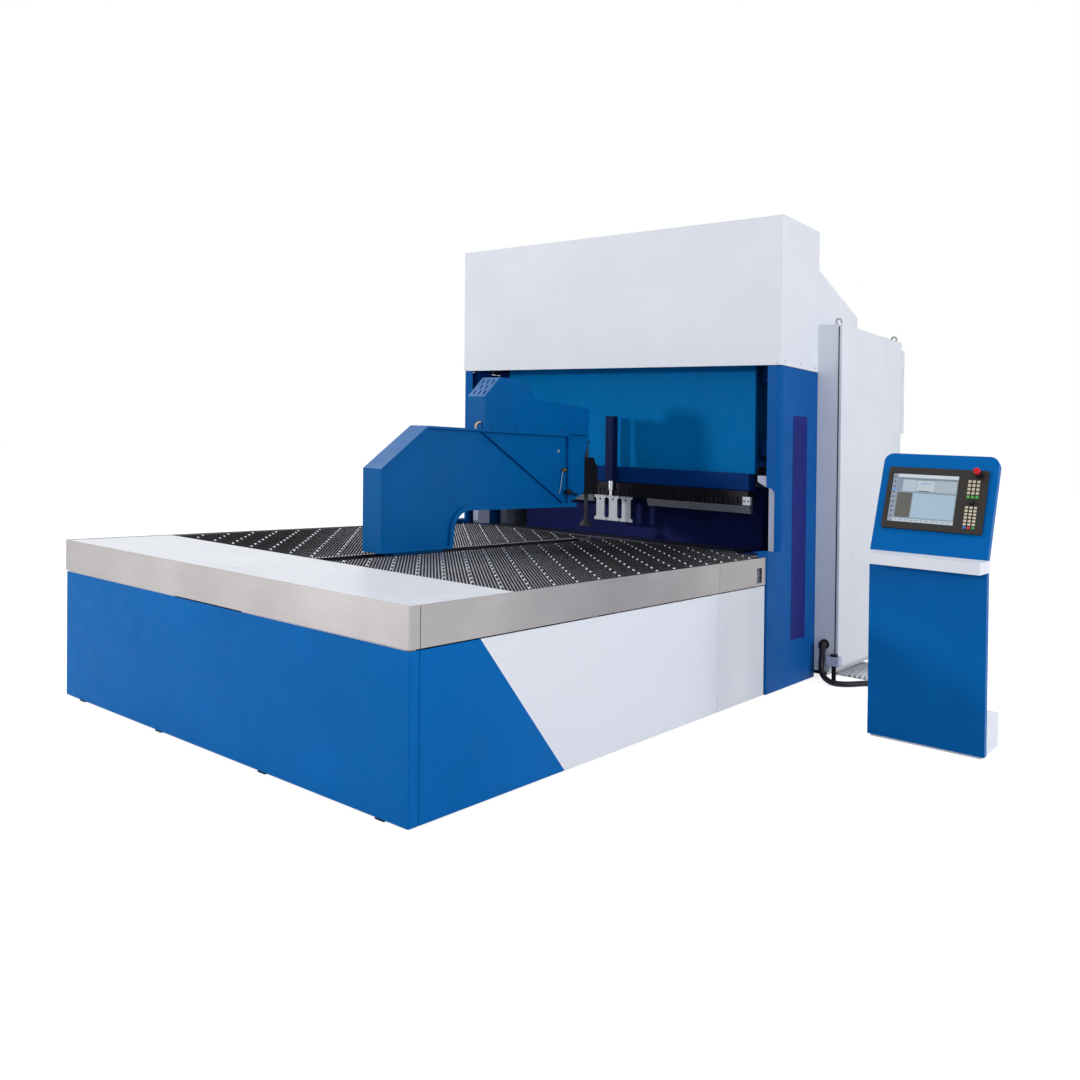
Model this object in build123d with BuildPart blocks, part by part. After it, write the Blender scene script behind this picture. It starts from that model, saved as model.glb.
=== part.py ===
from build123d import *
from math import cos, pi, radians, sin, sqrt, tan
import os

# Panel bender: a brush table with a sheet manipulator, a bending head behind it,
# and a control console that stands beside it on a hose.
# X runs along the bend line, +Y from the table into the head, +Z up from the floor.
# The origin is on the floor, below the middle of the bend line.

# Shared sheets, gaps and fits
cover_sheet = 4.0        # folded covers and panels
overrun = 20.0           # how far a cut passes the face it opens
seam_gap = 4.0           # joint between two covers
slide_gap = 0.3          # between flat sliding faces
shaft_gap = 0.05         # radial, on round running fits
seat_gap = 0.2           # radial, on round pieces that are fixed in a hole

# Table covers
table_length = 3327.0
table_setback = 423.0    # from the table's rear end to the bend line
table_inset = 10.0       # table's side behind the head's side cover
table_height = 950.0
fascia_height = 185.0
fascia_setout = 5.0      # the fascia stands proud of the panels below it
shadow_gap = 8.0         # dark joint under the fascia
floor_gap = 12.0
corner_return = 60.0     # front panel and fascia fold round the corner by this
fold_radius = 8.0
hem = 22.0               # flange folded in at a panel's end
end_panel_length = 647.0
hand_slot_width = 75.0
hand_slot_height = 101.0
hand_slot_drop = 67.0    # from the fascia's top edge
hand_slot_inset = 57.0   # from the table's rear end

# Deck and brush bed
deck_drop = 3.0          # deck below the fascia's top edge
brush_height = 15.0
bed_thickness = 12.0
front_deck_depth = 690.0
deck_bar = 40.0          # stiffener along a tray's front edge, resting on the first trestle
slot_width = 160.0       # gap that the manipulator runs in
ridge_spacing = 66.0
ridge_width = 40.0
ridge_margin = 18.0
ridge_angle = 45.0

# Table frame under the deck
trestle_thickness = 60.0
trestle_window_width = 440.0
trestle_window_height = 420.0
trestle_window_radius = 60.0
foot_height = 45.0
foot_pad = 56.0
foot_pad_thickness = 15.0
foot_nut = 24.0          # half width across the nut's corners
foot_spread_share = 0.36  # of a trestle's length, each side of its middle
bed_half_width = 300.0
bed_wall = 80.0
bed_floor = 40.0
bed_bottom = 400.0
bed_top = 600.0
bed_end_wall = 30.0
bed_front_margin = 70.0
bed_rear_margin = 190.0
rail_width = 34.0
rail_height = 30.0
screw_radius = 25.0
screw_height = 520.0

# Manipulator
arm_width = 160.0
arm_rear = -2635.0
arm_front = -771.0
arm_lift = 7.0           # foot above the deck's fascia height
arm_shoulder_height = 1464.0
arm_slope_length = 392.0
arm_height = 1738.0
arm_underside = 1198.0
arch_front = -1855.0
arch_waist = -2003.0
arch_waist_height = 1050.0
arch_crown_share = 0.207   # how far the arch bows out of its chord
arm_toe = -2015.0
arm_rim = 16.0
arch_flange = 32.0       # rim round the arch and along the underside
sill_length = 91.0       # underside flange past the arm's front
arm_panel_depth = 22.0
brace_top = -1728.0
brace_foot = -828.0
brace_depth = 26.0
nose_width = 120.0
nose_length = 211.0
nose_overhang = 66.0
nose_chin = 20.0         # nose starts this far above the arm's underside
nose_taper = 171.0
web_width = 70.0
web_rear = -2490.0
web_front = -2060.0
lower_arm_width = 90.0
lower_arm_height = 120.0
lower_arm_drop = 90.0    # its top below the table's top edge
clamp_axis = -450.0
lower_arm_nose = 60.0
carriage_length = 650.0
carriage_width = 580.0
carriage_plate = 30.0
block_height = 58.0
block_width = 76.0
block_length = 130.0
block_lift = 12.0
nut_width = 140.0
nut_length = 120.0

# Manipulator cover, clamp and rotor
cover_width = 156.0
cover_rear = -1717.0
cover_front = -520.0
cover_shoulder_height = 1957.0
cover_peak_height = 2096.0
cover_peak_rear = -1565.0
cover_peak_front = -1288.0
cover_neck = -1169.0
cover_neck_height = 1978.0
cover_front_height = 1940.0
cover_front_rake = 18.0
vent_length = 42.0
vent_width = 11.0
vent_column_spacing = 46.0
vent_row_spacing = 58.0
motor_size = 120.0
motor_height = 250.0
motor_axis = -1430.0
motor_edge = 12.0
belt_box_width = 100.0
belt_box_height = 90.0
belt_box_front = -620.0
bracket_width = 100.0
bracket_front = -372.0
bracket_bottom = 1290.0
bracket_top = 1572.0
bracket_crown_share = 0.35
bracket_slant = 82.0
ram_radius = 15.0
ram_bottom = 1100.0
ram_top = 1680.0
ram_collar_radius = 26.0
ram_collar_height = 18.0
pad_radius = 54.0
pad_bottom = 1040.0
pad_rim = 12.0
pad_neck_radius = 24.0
rotor_radius = 66.0
rotor_rim = 18.0
rotor_drop = 2.0         # its face below the table's top edge
spindle_radius = 22.0

# Bending head: frame and lower beam
head_front = -234.0
head_rear = 386.0
head_height = 3319.0
fascia_bottom = 2278.0
base_height = 180.0
base_bottom = 40.0
base_front = -300.0
base_inset = 5.0         # base's side behind the uprights' outer faces
base_step = 160.0        # how much wider the base is behind the side covers
base_rear = 1640.0
base_rib = 96.0          # left between two windows
base_window_depth = 480.0
base_window_columns = 5
base_foot_columns = 3
base_foot_inset = 60.0   # from the base's narrow side
base_foot_rows = 3
base_foot_row_spacing = 760.0
upright_thickness = 60.0
upright_clearance = 60.0  # from the uprights to the side covers
upright_front = -160.0
upright_rear = 360.0
upright_window_width = 220.0
upright_window_height = 480.0
upright_window_radius = 80.0
upright_window_spacing = 720.0
lower_beam_front = -262.0
lower_beam_rear = -12.0
lower_beam_wall = 40.0
counterblade_thickness = 15.0
counterblade_bevel = 14.0

# Head covers
side_corner_radius = 35.0
side_return = 105.0
side_ledge_height = 977.0
notch_top = 1372.0
notch_depth = 62.0
notch_radius = 45.0
strip_width = 237.0
strip_bottom = 335.0
strip_top = 1936.0
strip_front = -35.0
strip_thickness = 2.0
hood_setdown = 281.0     # hood's top edge below the head's top
hood_length = 774.0
hood_rear_rise = 150.0   # hood's rear edge above the rear roof
rear_overhang = 90.0     # rear covers beyond the base's side
rear_depth = 1284.0
rear_height = 2630.0
rear_skirt = 190.0
skirt_bottom = 112.0
rear_panel_count = 3
louvre_length = 360.0
louvre_width = 12.0
louvre_spacing = 34.0
louvre_count = 8
louvre_height = 620.0
cooler_width = 420.0
cooler_depth = 80.0
cooler_bottom = 1880.0
cooler_top = 2570.0
cooler_edge = 10.0
cooler_slot_length = 90.0
cooler_slot_width = 16.0
cooler_slot_depth = 6.0
cooler_slot_spacing = 300.0
eye_radius = 26.0
eye_hole_radius = 14.0
eye_thickness = 13.0
eye_collar_radius = 20.0
eye_collar_height = 12.0
eye_inset = 48.0
jack_length = 92.0
jack_depth = 64.0
jack_bottom = 128.0
jack_height = 66.0
jack_bolt_radius = 16.0
jack_nut_radius = 28.0
jack_nut_height = 14.0
jack_setout = 24.0       # jack block outside the base's side

# Upper beam and tools
beam_length = 2370.0
beam_front = 20.0
beam_rear = 330.0
beam_skin = 40.0
beam_bottom = 1503.0
beam_step = 57.0         # body starts this far above the front skin's lower edge
beam_top = 2400.0
beam_wall = 40.0
rail_bottom = 1377.0
rail_front = -75.0
rail_chamfer = 8.0
rod_radius = 60.0
rod_spread = 800.0
rod_axis = 180.0
rod_height = 550.0
crown_setdown = 559.0    # crown beam's underside below the head's top
crown_height = 240.0
crown_front = 60.0
crown_rear = 300.0
tool_rear = -5.0
tool_depth = 82.0
tool_bottom = 1270.0
toe_bottom = 1212.0
toe_depth = 30.0
toe_start_right = 300.0
toe_start_left = 215.0
tooth_spacing = 39.5
tooth_gap = 7.0
tooth_height = 62.0
centre_tool_count = 3
centre_tool_width = 116.0
centre_tool_spacing = 124.0
centre_tool_bottom = 1068.0
centre_tool_waist = 24.0
centre_tool_foot = 16.0
centre_tool_depth = 12.0
centre_tool_rear = -70.0
lift_axis = -112.0
lift_size = 74.0
lift_edge = 8.0
lift_bottom = 1390.0
lift_top = 1905.0
lift_rod_radius = 22.0
lift_tip_radius = 14.0
lift_tip_height = 48.0
lift_rod_reach = 160.0
guide_length = 200.0
guide_depth = 140.0
guide_front = 120.0
guide_height = 110.0
guide_low = 1640.0
guide_high = 2180.0
gusset_size = 88.0
gusset_bottom = 1410.0
gusset_depth = 96.0

# Bending blades
blade_inset = 35.0       # each end of the blades inside the beam's end
blade_gap = 8.0          # blade tip behind the bend line at rest
blade_thickness = 30.0
carrier_bottom = 700.0
carrier_mouth_bottom = 905.0
carrier_mouth_top = 1330.0
carrier_top = 1400.0
carrier_throat = 230.0
carrier_upper_front = 96.0
lower_blade_tip = 936.0
lower_blade_root = 780.0
upper_blade_tip = 1288.0
upper_blade_root = 1378.0
saddle_thickness = 90.0
saddle_top = 1415.0
saddle_inset = 50.0      # each end of the saddle inside the blades' end
saddle_window_width = 420.0
saddle_window_height = 560.0
saddle_window_spacing = 640.0

# Console
console_distance = 1166.0  # from the head's side to the console's middle
console_width = 658.0
console_front = -800.0
console_depth = 46.0
console_fold_height = 1095.0
console_head_length = 648.0
console_tilt = 23.0
console_corner = 55.0
console_foot_width = 625.0
console_foot_depth = 356.0
console_foot_height = 260.0
console_foot_rear_height = 200.0
console_foot_top_depth = 102.0
console_anchor_radius = 7.0
console_anchor_spacing = 500.0
console_anchor_depth = 200.0
console_foot_wall = 8.0
shelf_width = 684.0
shelf_reach = 200.0
shelf_height = 1112.0
shelf_lip = 66.0
shelf_sheet = 3.0
bezel_width = 566.0
bezel_height = 392.0
bezel_offset = 357.0     # from the fold line to the bezel's middle
bezel_thickness = 14.0
bezel_corner = 8.0
screen_width = 381.0
screen_height = 310.0
screen_x = -65.0
screen_recess = 6.0
screen_glass = 4.0
key_columns = 3
key_spacing = 24.0
key_size = 16.0
key_height = 3.0
keypad_x = 210.0
upper_key_rows = 5
upper_keys_y = 76.0      # from the bezel's middle
lower_key_rows = 7
lower_key_spacing = 20.6
lower_keys_y = -99.0
lower_key_height = 13.0
knob_y = -6.0
knob_radius = 15.0
knob_height = 20.0
knob_draft = 4.0         # degrees
knob_spindle_radius = 4.0
estop_x = 232.0
estop_y = 166.0
estop_collar_radius = 22.0
estop_collar_height = 42.0
estop_radius = 20.0
estop_head = 16.0
estop_neck_radius = 11.0
estop_travel_gap = 14.0
estop_stem = 4.0         # stem inside the bezel at rest

# Hose and floor cover
hose_radius = 21.0
gland_radius = 28.0
gland_flange = 8.0
elbow_drop = 28.0
hose_arc_share = 0.45    # of the shorter run, used by the arc at its end
# Route from the head to the console: X from the head's side, Y from the bend line, Z from the floor
hose_route = [
    (80, 345, 240), (79, 341, 180), (81, 324, 122), (97, 294, 74), (135, 264, 40), (194, 248, 22),
    (254, 262, 22), (304, 312, 22), (346, 392, 22), (400, 476, 22), (478, 552, 22), (592, 602, 22),
    (750, 615, 22), (925, 550, 22), (1075, 410, 22), (1167, 220, 22), (1195, 20, 22), (1185, -160, 26),
    (1171, -292, 50), (1166, -400, 70),
]
tread_length = 540.0
tread_width = 300.0
tread_height = 26.0
tread_tuck = 120.0       # width of the plate that lies under the housing
tread_y = 900.0
tread_edge = 12.0

# Levels and planes worked out from the sizes above
upright_inner = beam_length / 2 + guide_length
upright_outer = upright_inner + upright_thickness
head_half = upright_outer + upright_clearance
head_width = 2 * head_half
base_front_half = upright_outer - base_inset
base_rear_half = base_front_half + base_step
rear_half = base_rear_half + rear_overhang
jack_inner = base_rear_half + jack_setout
blade_length = beam_length - 2 * blade_inset
saddle_length = blade_length - 2 * saddle_inset
table_half = head_half - table_inset
top_rear_height = head_height - hood_setdown
hood_rear_height = rear_height + hood_rear_rise
crown_bottom = head_height - crown_setdown
console_x = head_half + console_distance
tread_x = rear_half - tread_tuck + tread_width / 2
table_end = -table_setback
table_front = table_end - table_length
deck_top = table_height - deck_drop
bed_under = deck_top - brush_height - bed_thickness
panel_half = table_half - fascia_setout
panel_top = table_height - fascia_height - shadow_gap
panel_front = table_front + fascia_setout
fascia_inner = table_half - cover_sheet
side_start = table_front + corner_return + seam_gap
seam_y = table_end - end_panel_length
deck_front = table_front + cover_sheet
bed_front = deck_front + front_deck_depth + seam_gap
rear_end = head_rear + rear_depth
lower_beam_top = table_height - counterblade_thickness
rail_level = bed_top + rail_height
plate_bottom = bed_top + block_lift + block_height
plate_top = plate_bottom + carriage_plate
foot_level = table_height + arm_lift
lower_arm_top = table_height - lower_arm_drop
cover_front_low = cover_front - cover_front_rake
nose_front = arm_front + nose_length
carrier_back = beam_rear
tilt = radians(console_tilt)
sides = (("right", 1), ("left", -1))

os.makedirs("parts", exist_ok=True)


def keep(piece, name):
    piece.part.label = name
    export_step(piece.part, f"parts/{name}.step")


def along_x(points, width, middle=0, mode=Mode.ADD):
    # A side outline in Y and Z, run along X.
    with BuildSketch(Plane.YZ.offset(middle - width / 2)) as outline:
        with BuildLine():
            Polyline(*points, close=True)
        make_face()
    extrude(outline.sketch, amount=width, mode=mode)


def folded(points, bottom, height, radius=fold_radius):
    # A folded sheet seen from above: the points are its outer face, walked with the inside on the left.
    with BuildSketch(Plane.XY.offset(bottom)) as section:
        with BuildLine():
            FilletPolyline(*points, radius=radius)
            offset(amount=cover_sheet, side=Side.LEFT)
        make_face()
    extrude(section.sketch, amount=height)


def slab(x_range, y_range, z_range, mode=Mode.ADD):
    with BuildSketch(Plane.XY.offset(z_range[0])) as base:
        with Locations(((x_range[0] + x_range[1]) / 2, (y_range[0] + y_range[1]) / 2)):
            Rectangle(abs(x_range[1] - x_range[0]), y_range[1] - y_range[0])
    extrude(base.sketch, amount=z_range[1] - z_range[0], mode=mode)


def about(middle, size):
    # Both ends of a length laid out about its middle.
    return (middle - size / 2, middle + size / 2)


def mirrored(points, side):
    # The same walk on the other side keeps its inside on the left when it runs backwards.
    flipped = [(side * x, y) for x, y in points]
    return flipped if side > 0 else flipped[::-1]


# Front panel and the side panels with their rear end pieces
with BuildPart() as front_panel:
    front_return = table_front + corner_return
    folded([(-panel_half, front_return), (-panel_half, panel_front),
            (panel_half, panel_front), (panel_half, front_return)], floor_gap, panel_top - floor_gap)
keep(front_panel, "front_panel")

with BuildPart() as side_panels:
    for label, side in sides:
        for start, end in ((side_start, seam_y - seam_gap / 2), (seam_y + seam_gap / 2, table_end)):
            walk = [(panel_half - hem, start), (panel_half, start),
                    (panel_half, end), (panel_half - hem, end)]
            folded(mirrored(walk, side), floor_gap, panel_top - floor_gap)
keep(side_panels, "side_panels")

# Steel fascia that hides the deck's edge
with BuildPart() as front_fascia:
    folded([(-table_half, front_return), (-table_half, table_front),
            (table_half, table_front), (table_half, front_return)],
           table_height - fascia_height, fascia_height)
keep(front_fascia, "front_fascia")

with BuildPart() as side_fascias:
    for label, side in sides:
        for start, end in ((side_start, seam_y - seam_gap / 2), (seam_y + seam_gap / 2, table_end)):
            slab((side * fascia_inner, side * table_half), (start, end),
                 (table_height - fascia_height, table_height))
    hand_slot_y = table_end - hand_slot_inset - hand_slot_width / 2
    hand_slot_z = table_height - hand_slot_drop - hand_slot_height / 2
    with BuildSketch(Plane.YZ):
        with Locations((hand_slot_y, hand_slot_z)):
            Rectangle(hand_slot_width, hand_slot_height)
    extrude(amount=table_half + overrun, both=True, mode=Mode.SUBTRACT)
keep(side_fascias, "side_fascias")

# White front decks: two trays and the plain strip that closes the slot between them
with BuildPart() as front_decks:
    tray_inner = slot_width / 2 + seam_gap
    tray_outer = fascia_inner - fold_radius + cover_sheet
    for label, side in sides:
        slab((side * tray_inner, side * tray_outer), (deck_front, deck_front + front_deck_depth),
             (bed_under, deck_top))
        slab((side * (tray_inner + cover_sheet), side * (tray_outer - cover_sheet)),
             (deck_front + deck_bar, deck_front + front_deck_depth - cover_sheet),
             (bed_under - overrun, deck_top - cover_sheet), mode=Mode.SUBTRACT)
    slab((-slot_width / 2, slot_width / 2), (deck_front, deck_front + front_deck_depth),
         (deck_top - cover_sheet, deck_top))
    slab((-slot_width / 2, slot_width / 2), (deck_front, deck_front + cover_sheet), (bed_under, deck_top))
keep(front_decks, "front_decks")

# Brush beds: a plate each side of the slot, with brush rows standing on it along the diagonal
for label, side in sides:
    bed_rear = lower_beam_front
    bed_inner = slot_width / 2
    throat_half = upright_inner - seam_gap
    with BuildPart() as brush_bed:
        outline = [(bed_inner, bed_front), (fascia_inner, bed_front), (fascia_inner, table_end),
                   (throat_half, table_end), (throat_half, bed_rear), (bed_inner, bed_rear)]
        with BuildSketch(Plane.XY.offset(bed_under)):
            with BuildLine():
                Polyline(*[(side * x, y) for x, y in outline], close=True)
            make_face()
        extrude(amount=bed_thickness)
        field_width = throat_half - bed_inner - 2 * ridge_margin
        field_length = bed_rear - bed_front - 2 * ridge_margin
        field_x = side * (throat_half + bed_inner) / 2
        field_y = (bed_rear + bed_front) / 2
        ridge_count = int((field_width + field_length) / ridge_spacing / sqrt(2))
        with BuildSketch(Plane.XY.offset(bed_under + bed_thickness)):
            with Locations(Location((field_x, field_y), ridge_angle)):
                with GridLocations(ridge_spacing, 0, ridge_count, 1):
                    Rectangle(ridge_width, field_width + field_length)
            with Locations((field_x, field_y)):
                Rectangle(field_width, field_length, mode=Mode.INTERSECT)
        extrude(amount=brush_height)
    keep(brush_bed, f"brush_bed_{label}")

# Frame under the deck: half trestles bolted to both sides of the guide bed
trestle_inner = bed_half_width
trestle_outer = panel_half - hem
trestle_span = trestle_outer - trestle_inner
trestle_middle = (trestle_outer + trestle_inner) / 2
trestle_first = panel_front + cover_sheet + trestle_thickness / 2
trestle_last = table_end - trestle_thickness / 2
trestle_ys = [trestle_first, (trestle_first + seam_y) / 2, seam_y, trestle_last]
with BuildPart() as table_trestles:
    for label, side in sides:
        for y in trestle_ys:
            middle_z = (foot_height + bed_under) / 2
            with BuildSketch(Plane.XZ.offset(-y - trestle_thickness / 2)):
                with Locations((side * trestle_middle, middle_z)):
                    Rectangle(trestle_span, bed_under - foot_height)
                    with GridLocations(trestle_span / 2, 0, 2, 1):
                        RectangleRounded(trestle_window_width, trestle_window_height,
                                         trestle_window_radius, mode=Mode.SUBTRACT)
            extrude(amount=trestle_thickness)
keep(table_trestles, "table_trestles")

bed_start = table_front + bed_front_margin + trestle_thickness
bed_stop = table_end - bed_rear_margin
with BuildPart() as guide_bed:
    slab(about(0, 2 * bed_half_width), (bed_start, bed_stop), (bed_bottom, bed_top))
    slab(about(0, 2 * (bed_half_width - bed_wall)),
         (bed_start + bed_end_wall, bed_stop - bed_end_wall), (bed_bottom + bed_floor, bed_top + overrun),
         mode=Mode.SUBTRACT)
    with BuildSketch(Plane.XZ.offset(-bed_stop - overrun)):
        with Locations((0, screw_height)):
            Circle(screw_radius + seat_gap)
    extrude(amount=bed_stop - bed_start + 2 * overrun, mode=Mode.SUBTRACT)
keep(guide_bed, "guide_bed")

with BuildPart() as guide_rails:
    rail_x = bed_half_width - bed_wall / 2
    for label, side in sides:
        slab(about(side * rail_x, rail_width), (bed_start, bed_stop), (bed_top, rail_level))
keep(guide_rails, "guide_rails")

with BuildPart() as travel_screw:
    with BuildSketch(Plane.XZ.offset(-bed_stop)):
        with Locations((0, screw_height)):
            Circle(screw_radius)
    extrude(amount=bed_stop - bed_start)
keep(travel_screw, "travel_screw")

# Levelling feet under the trestles and the head's base, and the two jack bolts
jack_x = jack_inner + jack_length / 2
jack_y = head_rear - jack_depth / 2
with BuildPart() as levelling_feet:
    table_spots = [(side * (trestle_middle + share * trestle_span), y) for label, side in sides
                   for share in (-foot_spread_share, foot_spread_share) for y in trestle_ys]
    base_foot_spacing = 2 * (base_front_half - base_foot_inset) / (base_foot_columns - 1)
    base_spots = [((column - (base_foot_columns - 1) / 2) * base_foot_spacing, row * base_foot_row_spacing)
                  for column in range(base_foot_columns) for row in range(base_foot_rows)]
    for spots, top in ((table_spots, foot_height), (base_spots, base_bottom)):
        with BuildSketch():
            with Locations(*spots):
                Rectangle(foot_pad, foot_pad)
        extrude(amount=foot_pad_thickness)
        with BuildSketch(Plane.XY.offset(foot_pad_thickness)):
            with Locations(*spots):
                RegularPolygon(foot_nut, side_count=6)
        extrude(amount=top - foot_pad_thickness)
    jack_spots = [(side * jack_x, jack_y) for label, side in sides]
    with BuildSketch():
        with Locations(*jack_spots):
            Circle(jack_nut_radius)
    extrude(amount=foot_pad_thickness)
    with BuildSketch():
        with Locations(*jack_spots):
            Circle(jack_bolt_radius)
    extrude(amount=jack_bottom + jack_height)
    with BuildSketch(Plane.XY.offset(jack_bottom + jack_height)):
        with Locations(*jack_spots):
            Circle(jack_nut_radius)
    extrude(amount=jack_nut_height)
keep(levelling_feet, "levelling_feet")

# Manipulator: a deep C-frame over the table, its web in the slot and its lower arm under the deck
with BuildPart() as manipulator_frame:
    chord = Vector(arch_front - arch_waist, arm_underside - arch_waist_height)
    bow = Vector(-chord.Y, chord.X) * arch_crown_share
    crown = Vector(arch_waist, arch_waist_height) + chord / 2 + bow
    with BuildSketch(Plane.YZ.offset(-arm_width / 2)) as arm_outline:
        with BuildLine():
            Polyline((arm_toe, foot_level), (arm_rear, foot_level), (arm_rear, arm_shoulder_height),
                     (arm_rear + arm_slope_length, arm_height), (arm_front, arm_height),
                     (arm_front, arm_underside), (arch_front, arm_underside))
            ThreePointArc((arch_front, arm_underside), (crown.X, crown.Y), (arch_waist, arch_waist_height))
            Line((arch_waist, arch_waist_height), (arm_toe, foot_level))
        make_face()
    extrude(amount=arm_width)
    with BuildSketch(Plane.YZ, mode=Mode.PRIVATE) as arch_band:
        with BuildLine():
            Polyline((arm_toe, foot_level - overrun), (arch_waist, arch_waist_height))
            ThreePointArc((arch_waist, arch_waist_height), (crown.X, crown.Y), (arch_front, arm_underside))
            Polyline((arch_front, arm_underside), (arm_front + overrun, arm_underside),
                     (arm_front + overrun, foot_level - overrun), (arm_toe, foot_level - overrun))
        make_face()
        offset(amount=arch_flange, kind=Kind.INTERSECTION, mode=Mode.REPLACE)
    for face_x, depth_sign in ((-arm_width / 2, 1), (arm_width / 2, -1)):
        # Side plate set in behind the rim, up to the slanted brace
        with BuildSketch(Plane.YZ.offset(face_x)):
            add(arm_outline.sketch_local)
            offset(amount=-arm_rim, kind=Kind.INTERSECTION, mode=Mode.REPLACE)
            with BuildLine():
                Polyline((brace_top - arm_rim, arm_height + overrun),
                         (brace_top - arm_rim, arm_height - arm_rim),
                         (brace_foot - arm_rim, arm_underside + arch_flange),
                         (brace_foot - arm_rim, arm_underside - overrun),
                         (arm_front + overrun, arm_underside - overrun),
                         (arm_front + overrun, arm_height + overrun), close=True)
            make_face(mode=Mode.SUBTRACT)
            add(arch_band.sketch_local, mode=Mode.SUBTRACT)
        extrude(amount=depth_sign * arm_panel_depth, mode=Mode.SUBTRACT)
        # Deeper triangle in front of the brace, inside the front and lower flanges
        with BuildSketch(Plane.YZ.offset(face_x)):
            with BuildLine():
                Polyline((brace_top, arm_height - arm_rim), (brace_foot, arm_underside + arch_flange),
                         (arm_front - arm_rim, arm_underside + arch_flange),
                         (arm_front - arm_rim, arm_height - arm_rim), close=True)
            make_face()
        extrude(amount=depth_sign * brace_depth, mode=Mode.SUBTRACT)
    along_x([(arm_front, arm_height), (nose_front + nose_overhang, arm_height),
             (nose_front, arm_height - nose_taper), (nose_front, arm_underside + nose_length / 2),
             (arm_front, arm_underside + nose_chin)], nose_width)
    slab(about(0, arm_width), (arm_front, arm_front + sill_length),
         (arm_underside, arm_underside + arch_flange))
    along_x([(web_rear, plate_top), (web_front, plate_top), (web_front, foot_level), (web_rear, foot_level)],
            web_width)
    along_x([(web_front, lower_arm_top - lower_arm_height), (clamp_axis + lower_arm_nose,
             lower_arm_top - lower_arm_height), (clamp_axis + lower_arm_nose, lower_arm_top),
             (web_front, lower_arm_top)], lower_arm_width)
    with BuildSketch(Plane.XY.offset(lower_arm_top - lower_arm_height)):
        with Locations((0, clamp_axis)):
            Circle(spindle_radius + shaft_gap)
    extrude(amount=lower_arm_height, mode=Mode.SUBTRACT)
keep(manipulator_frame, "manipulator_frame")

# Carriage: a plate on four rail blocks, with the nut of the travel screw under it
with BuildPart() as carriage:
    carriage_middle = (web_rear + web_front) / 2
    slab(about(0, carriage_width), about(carriage_middle, carriage_length), (plate_bottom, plate_top))
    block_spacing = carriage_length - block_length
    with BuildSketch(Plane.XY.offset(bed_top + block_lift)):
        with Locations((0, carriage_middle)):
            with GridLocations(2 * rail_x, block_spacing, 2, 2):
                Rectangle(block_width, block_length)
                Rectangle(rail_width + 2 * slide_gap, block_length, mode=Mode.SUBTRACT)
    extrude(amount=block_height)
    with BuildSketch(Plane.XY.offset(rail_level + slide_gap)):
        with Locations((0, carriage_middle)):
            with GridLocations(2 * rail_x, block_spacing, 2, 2):
                Rectangle(block_width, block_length)
    extrude(amount=plate_bottom - rail_level - slide_gap)
    slab(about(0, nut_width), about(carriage_middle, nut_length),
         (screw_height - nut_width / 2, plate_bottom))
    with BuildSketch(Plane.XZ.offset(-carriage_middle - nut_length)):
        with Locations((0, screw_height)):
            Circle(screw_radius + shaft_gap)
    extrude(amount=2 * nut_length, mode=Mode.SUBTRACT)
keep(carriage, "carriage")

# Cover over the clamp drive, a sheet shell with slots in its rear slope
cover_low = arm_height
with BuildPart() as motor_cover:
    cover_points = [(cover_rear, cover_low), (cover_rear, cover_shoulder_height),
                    (cover_peak_rear, cover_peak_height), (cover_peak_front, cover_peak_height),
                    (cover_neck, cover_neck_height), (cover_front, cover_front_height),
                    (cover_front_low, cover_low)]
    with BuildSketch(Plane.YZ.offset(-cover_width / 2)) as cover_outline:
        with BuildLine():
            Polyline(*cover_points, close=True)
        make_face()
    extrude(amount=cover_width)
    with BuildSketch(Plane.YZ.offset(cover_sheet - cover_width / 2)):
        add(cover_outline.sketch_local)
        offset(amount=-cover_sheet, kind=Kind.INTERSECTION, mode=Mode.REPLACE)
    extrude(amount=cover_width - 2 * cover_sheet, mode=Mode.SUBTRACT)
    slab(about(0, cover_width - 2 * cover_sheet), (cover_rear + cover_sheet, nose_front),
         about(cover_low, 2 * overrun), mode=Mode.SUBTRACT)
    slope = Vector(0, cover_peak_rear - cover_rear, cover_peak_height - cover_shoulder_height)
    slope_middle = Vector(0, cover_rear, cover_shoulder_height) + slope / 2
    with BuildSketch(Plane(slope_middle, x_dir=(1, 0, 0), z_dir=Vector(0, -slope.Z, slope.Y))):
        with GridLocations(vent_column_spacing, 2 * vent_row_spacing, 3, 2):
            SlotOverall(vent_length, vent_width, rotation=90)
        with GridLocations(vent_column_spacing, 0, 2, 1):
            SlotOverall(vent_length, vent_width, rotation=90)
    extrude(amount=overrun, both=True, mode=Mode.SUBTRACT)
keep(motor_cover, "motor_cover")

# Clamp drive inside the cover: a servo and the belt box that runs forward to the nose
with BuildPart() as clamp_drive:
    with BuildSketch(Plane.XY.offset(arm_height)):
        with Locations((0, motor_axis)):
            RectangleRounded(motor_size, motor_size, motor_edge)
    extrude(amount=motor_height)
    slab((-belt_box_width / 2, belt_box_width / 2), (motor_axis, belt_box_front),
         (arm_height, arm_height + belt_box_height))
keep(clamp_drive, "clamp_drive")

# Black clamp bracket with the bore that guides the ram
with BuildPart() as clamp_bracket:
    bracket_crown = nose_front + bracket_crown_share * (bracket_front - nose_front)
    along_x([(nose_front, bracket_bottom), (nose_front, bracket_top - bracket_slant / 2),
             (bracket_crown, bracket_top), (clamp_axis + ram_collar_radius, bracket_top),
             (bracket_front, bracket_top - bracket_slant), (bracket_front, bracket_bottom)], bracket_width)
    with BuildSketch(Plane.XY.offset(bracket_bottom)):
        with Locations((0, clamp_axis)):
            Circle(ram_radius + shaft_gap)
    extrude(amount=bracket_top - bracket_bottom, mode=Mode.SUBTRACT)
keep(clamp_bracket, "clamp_bracket")

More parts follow.
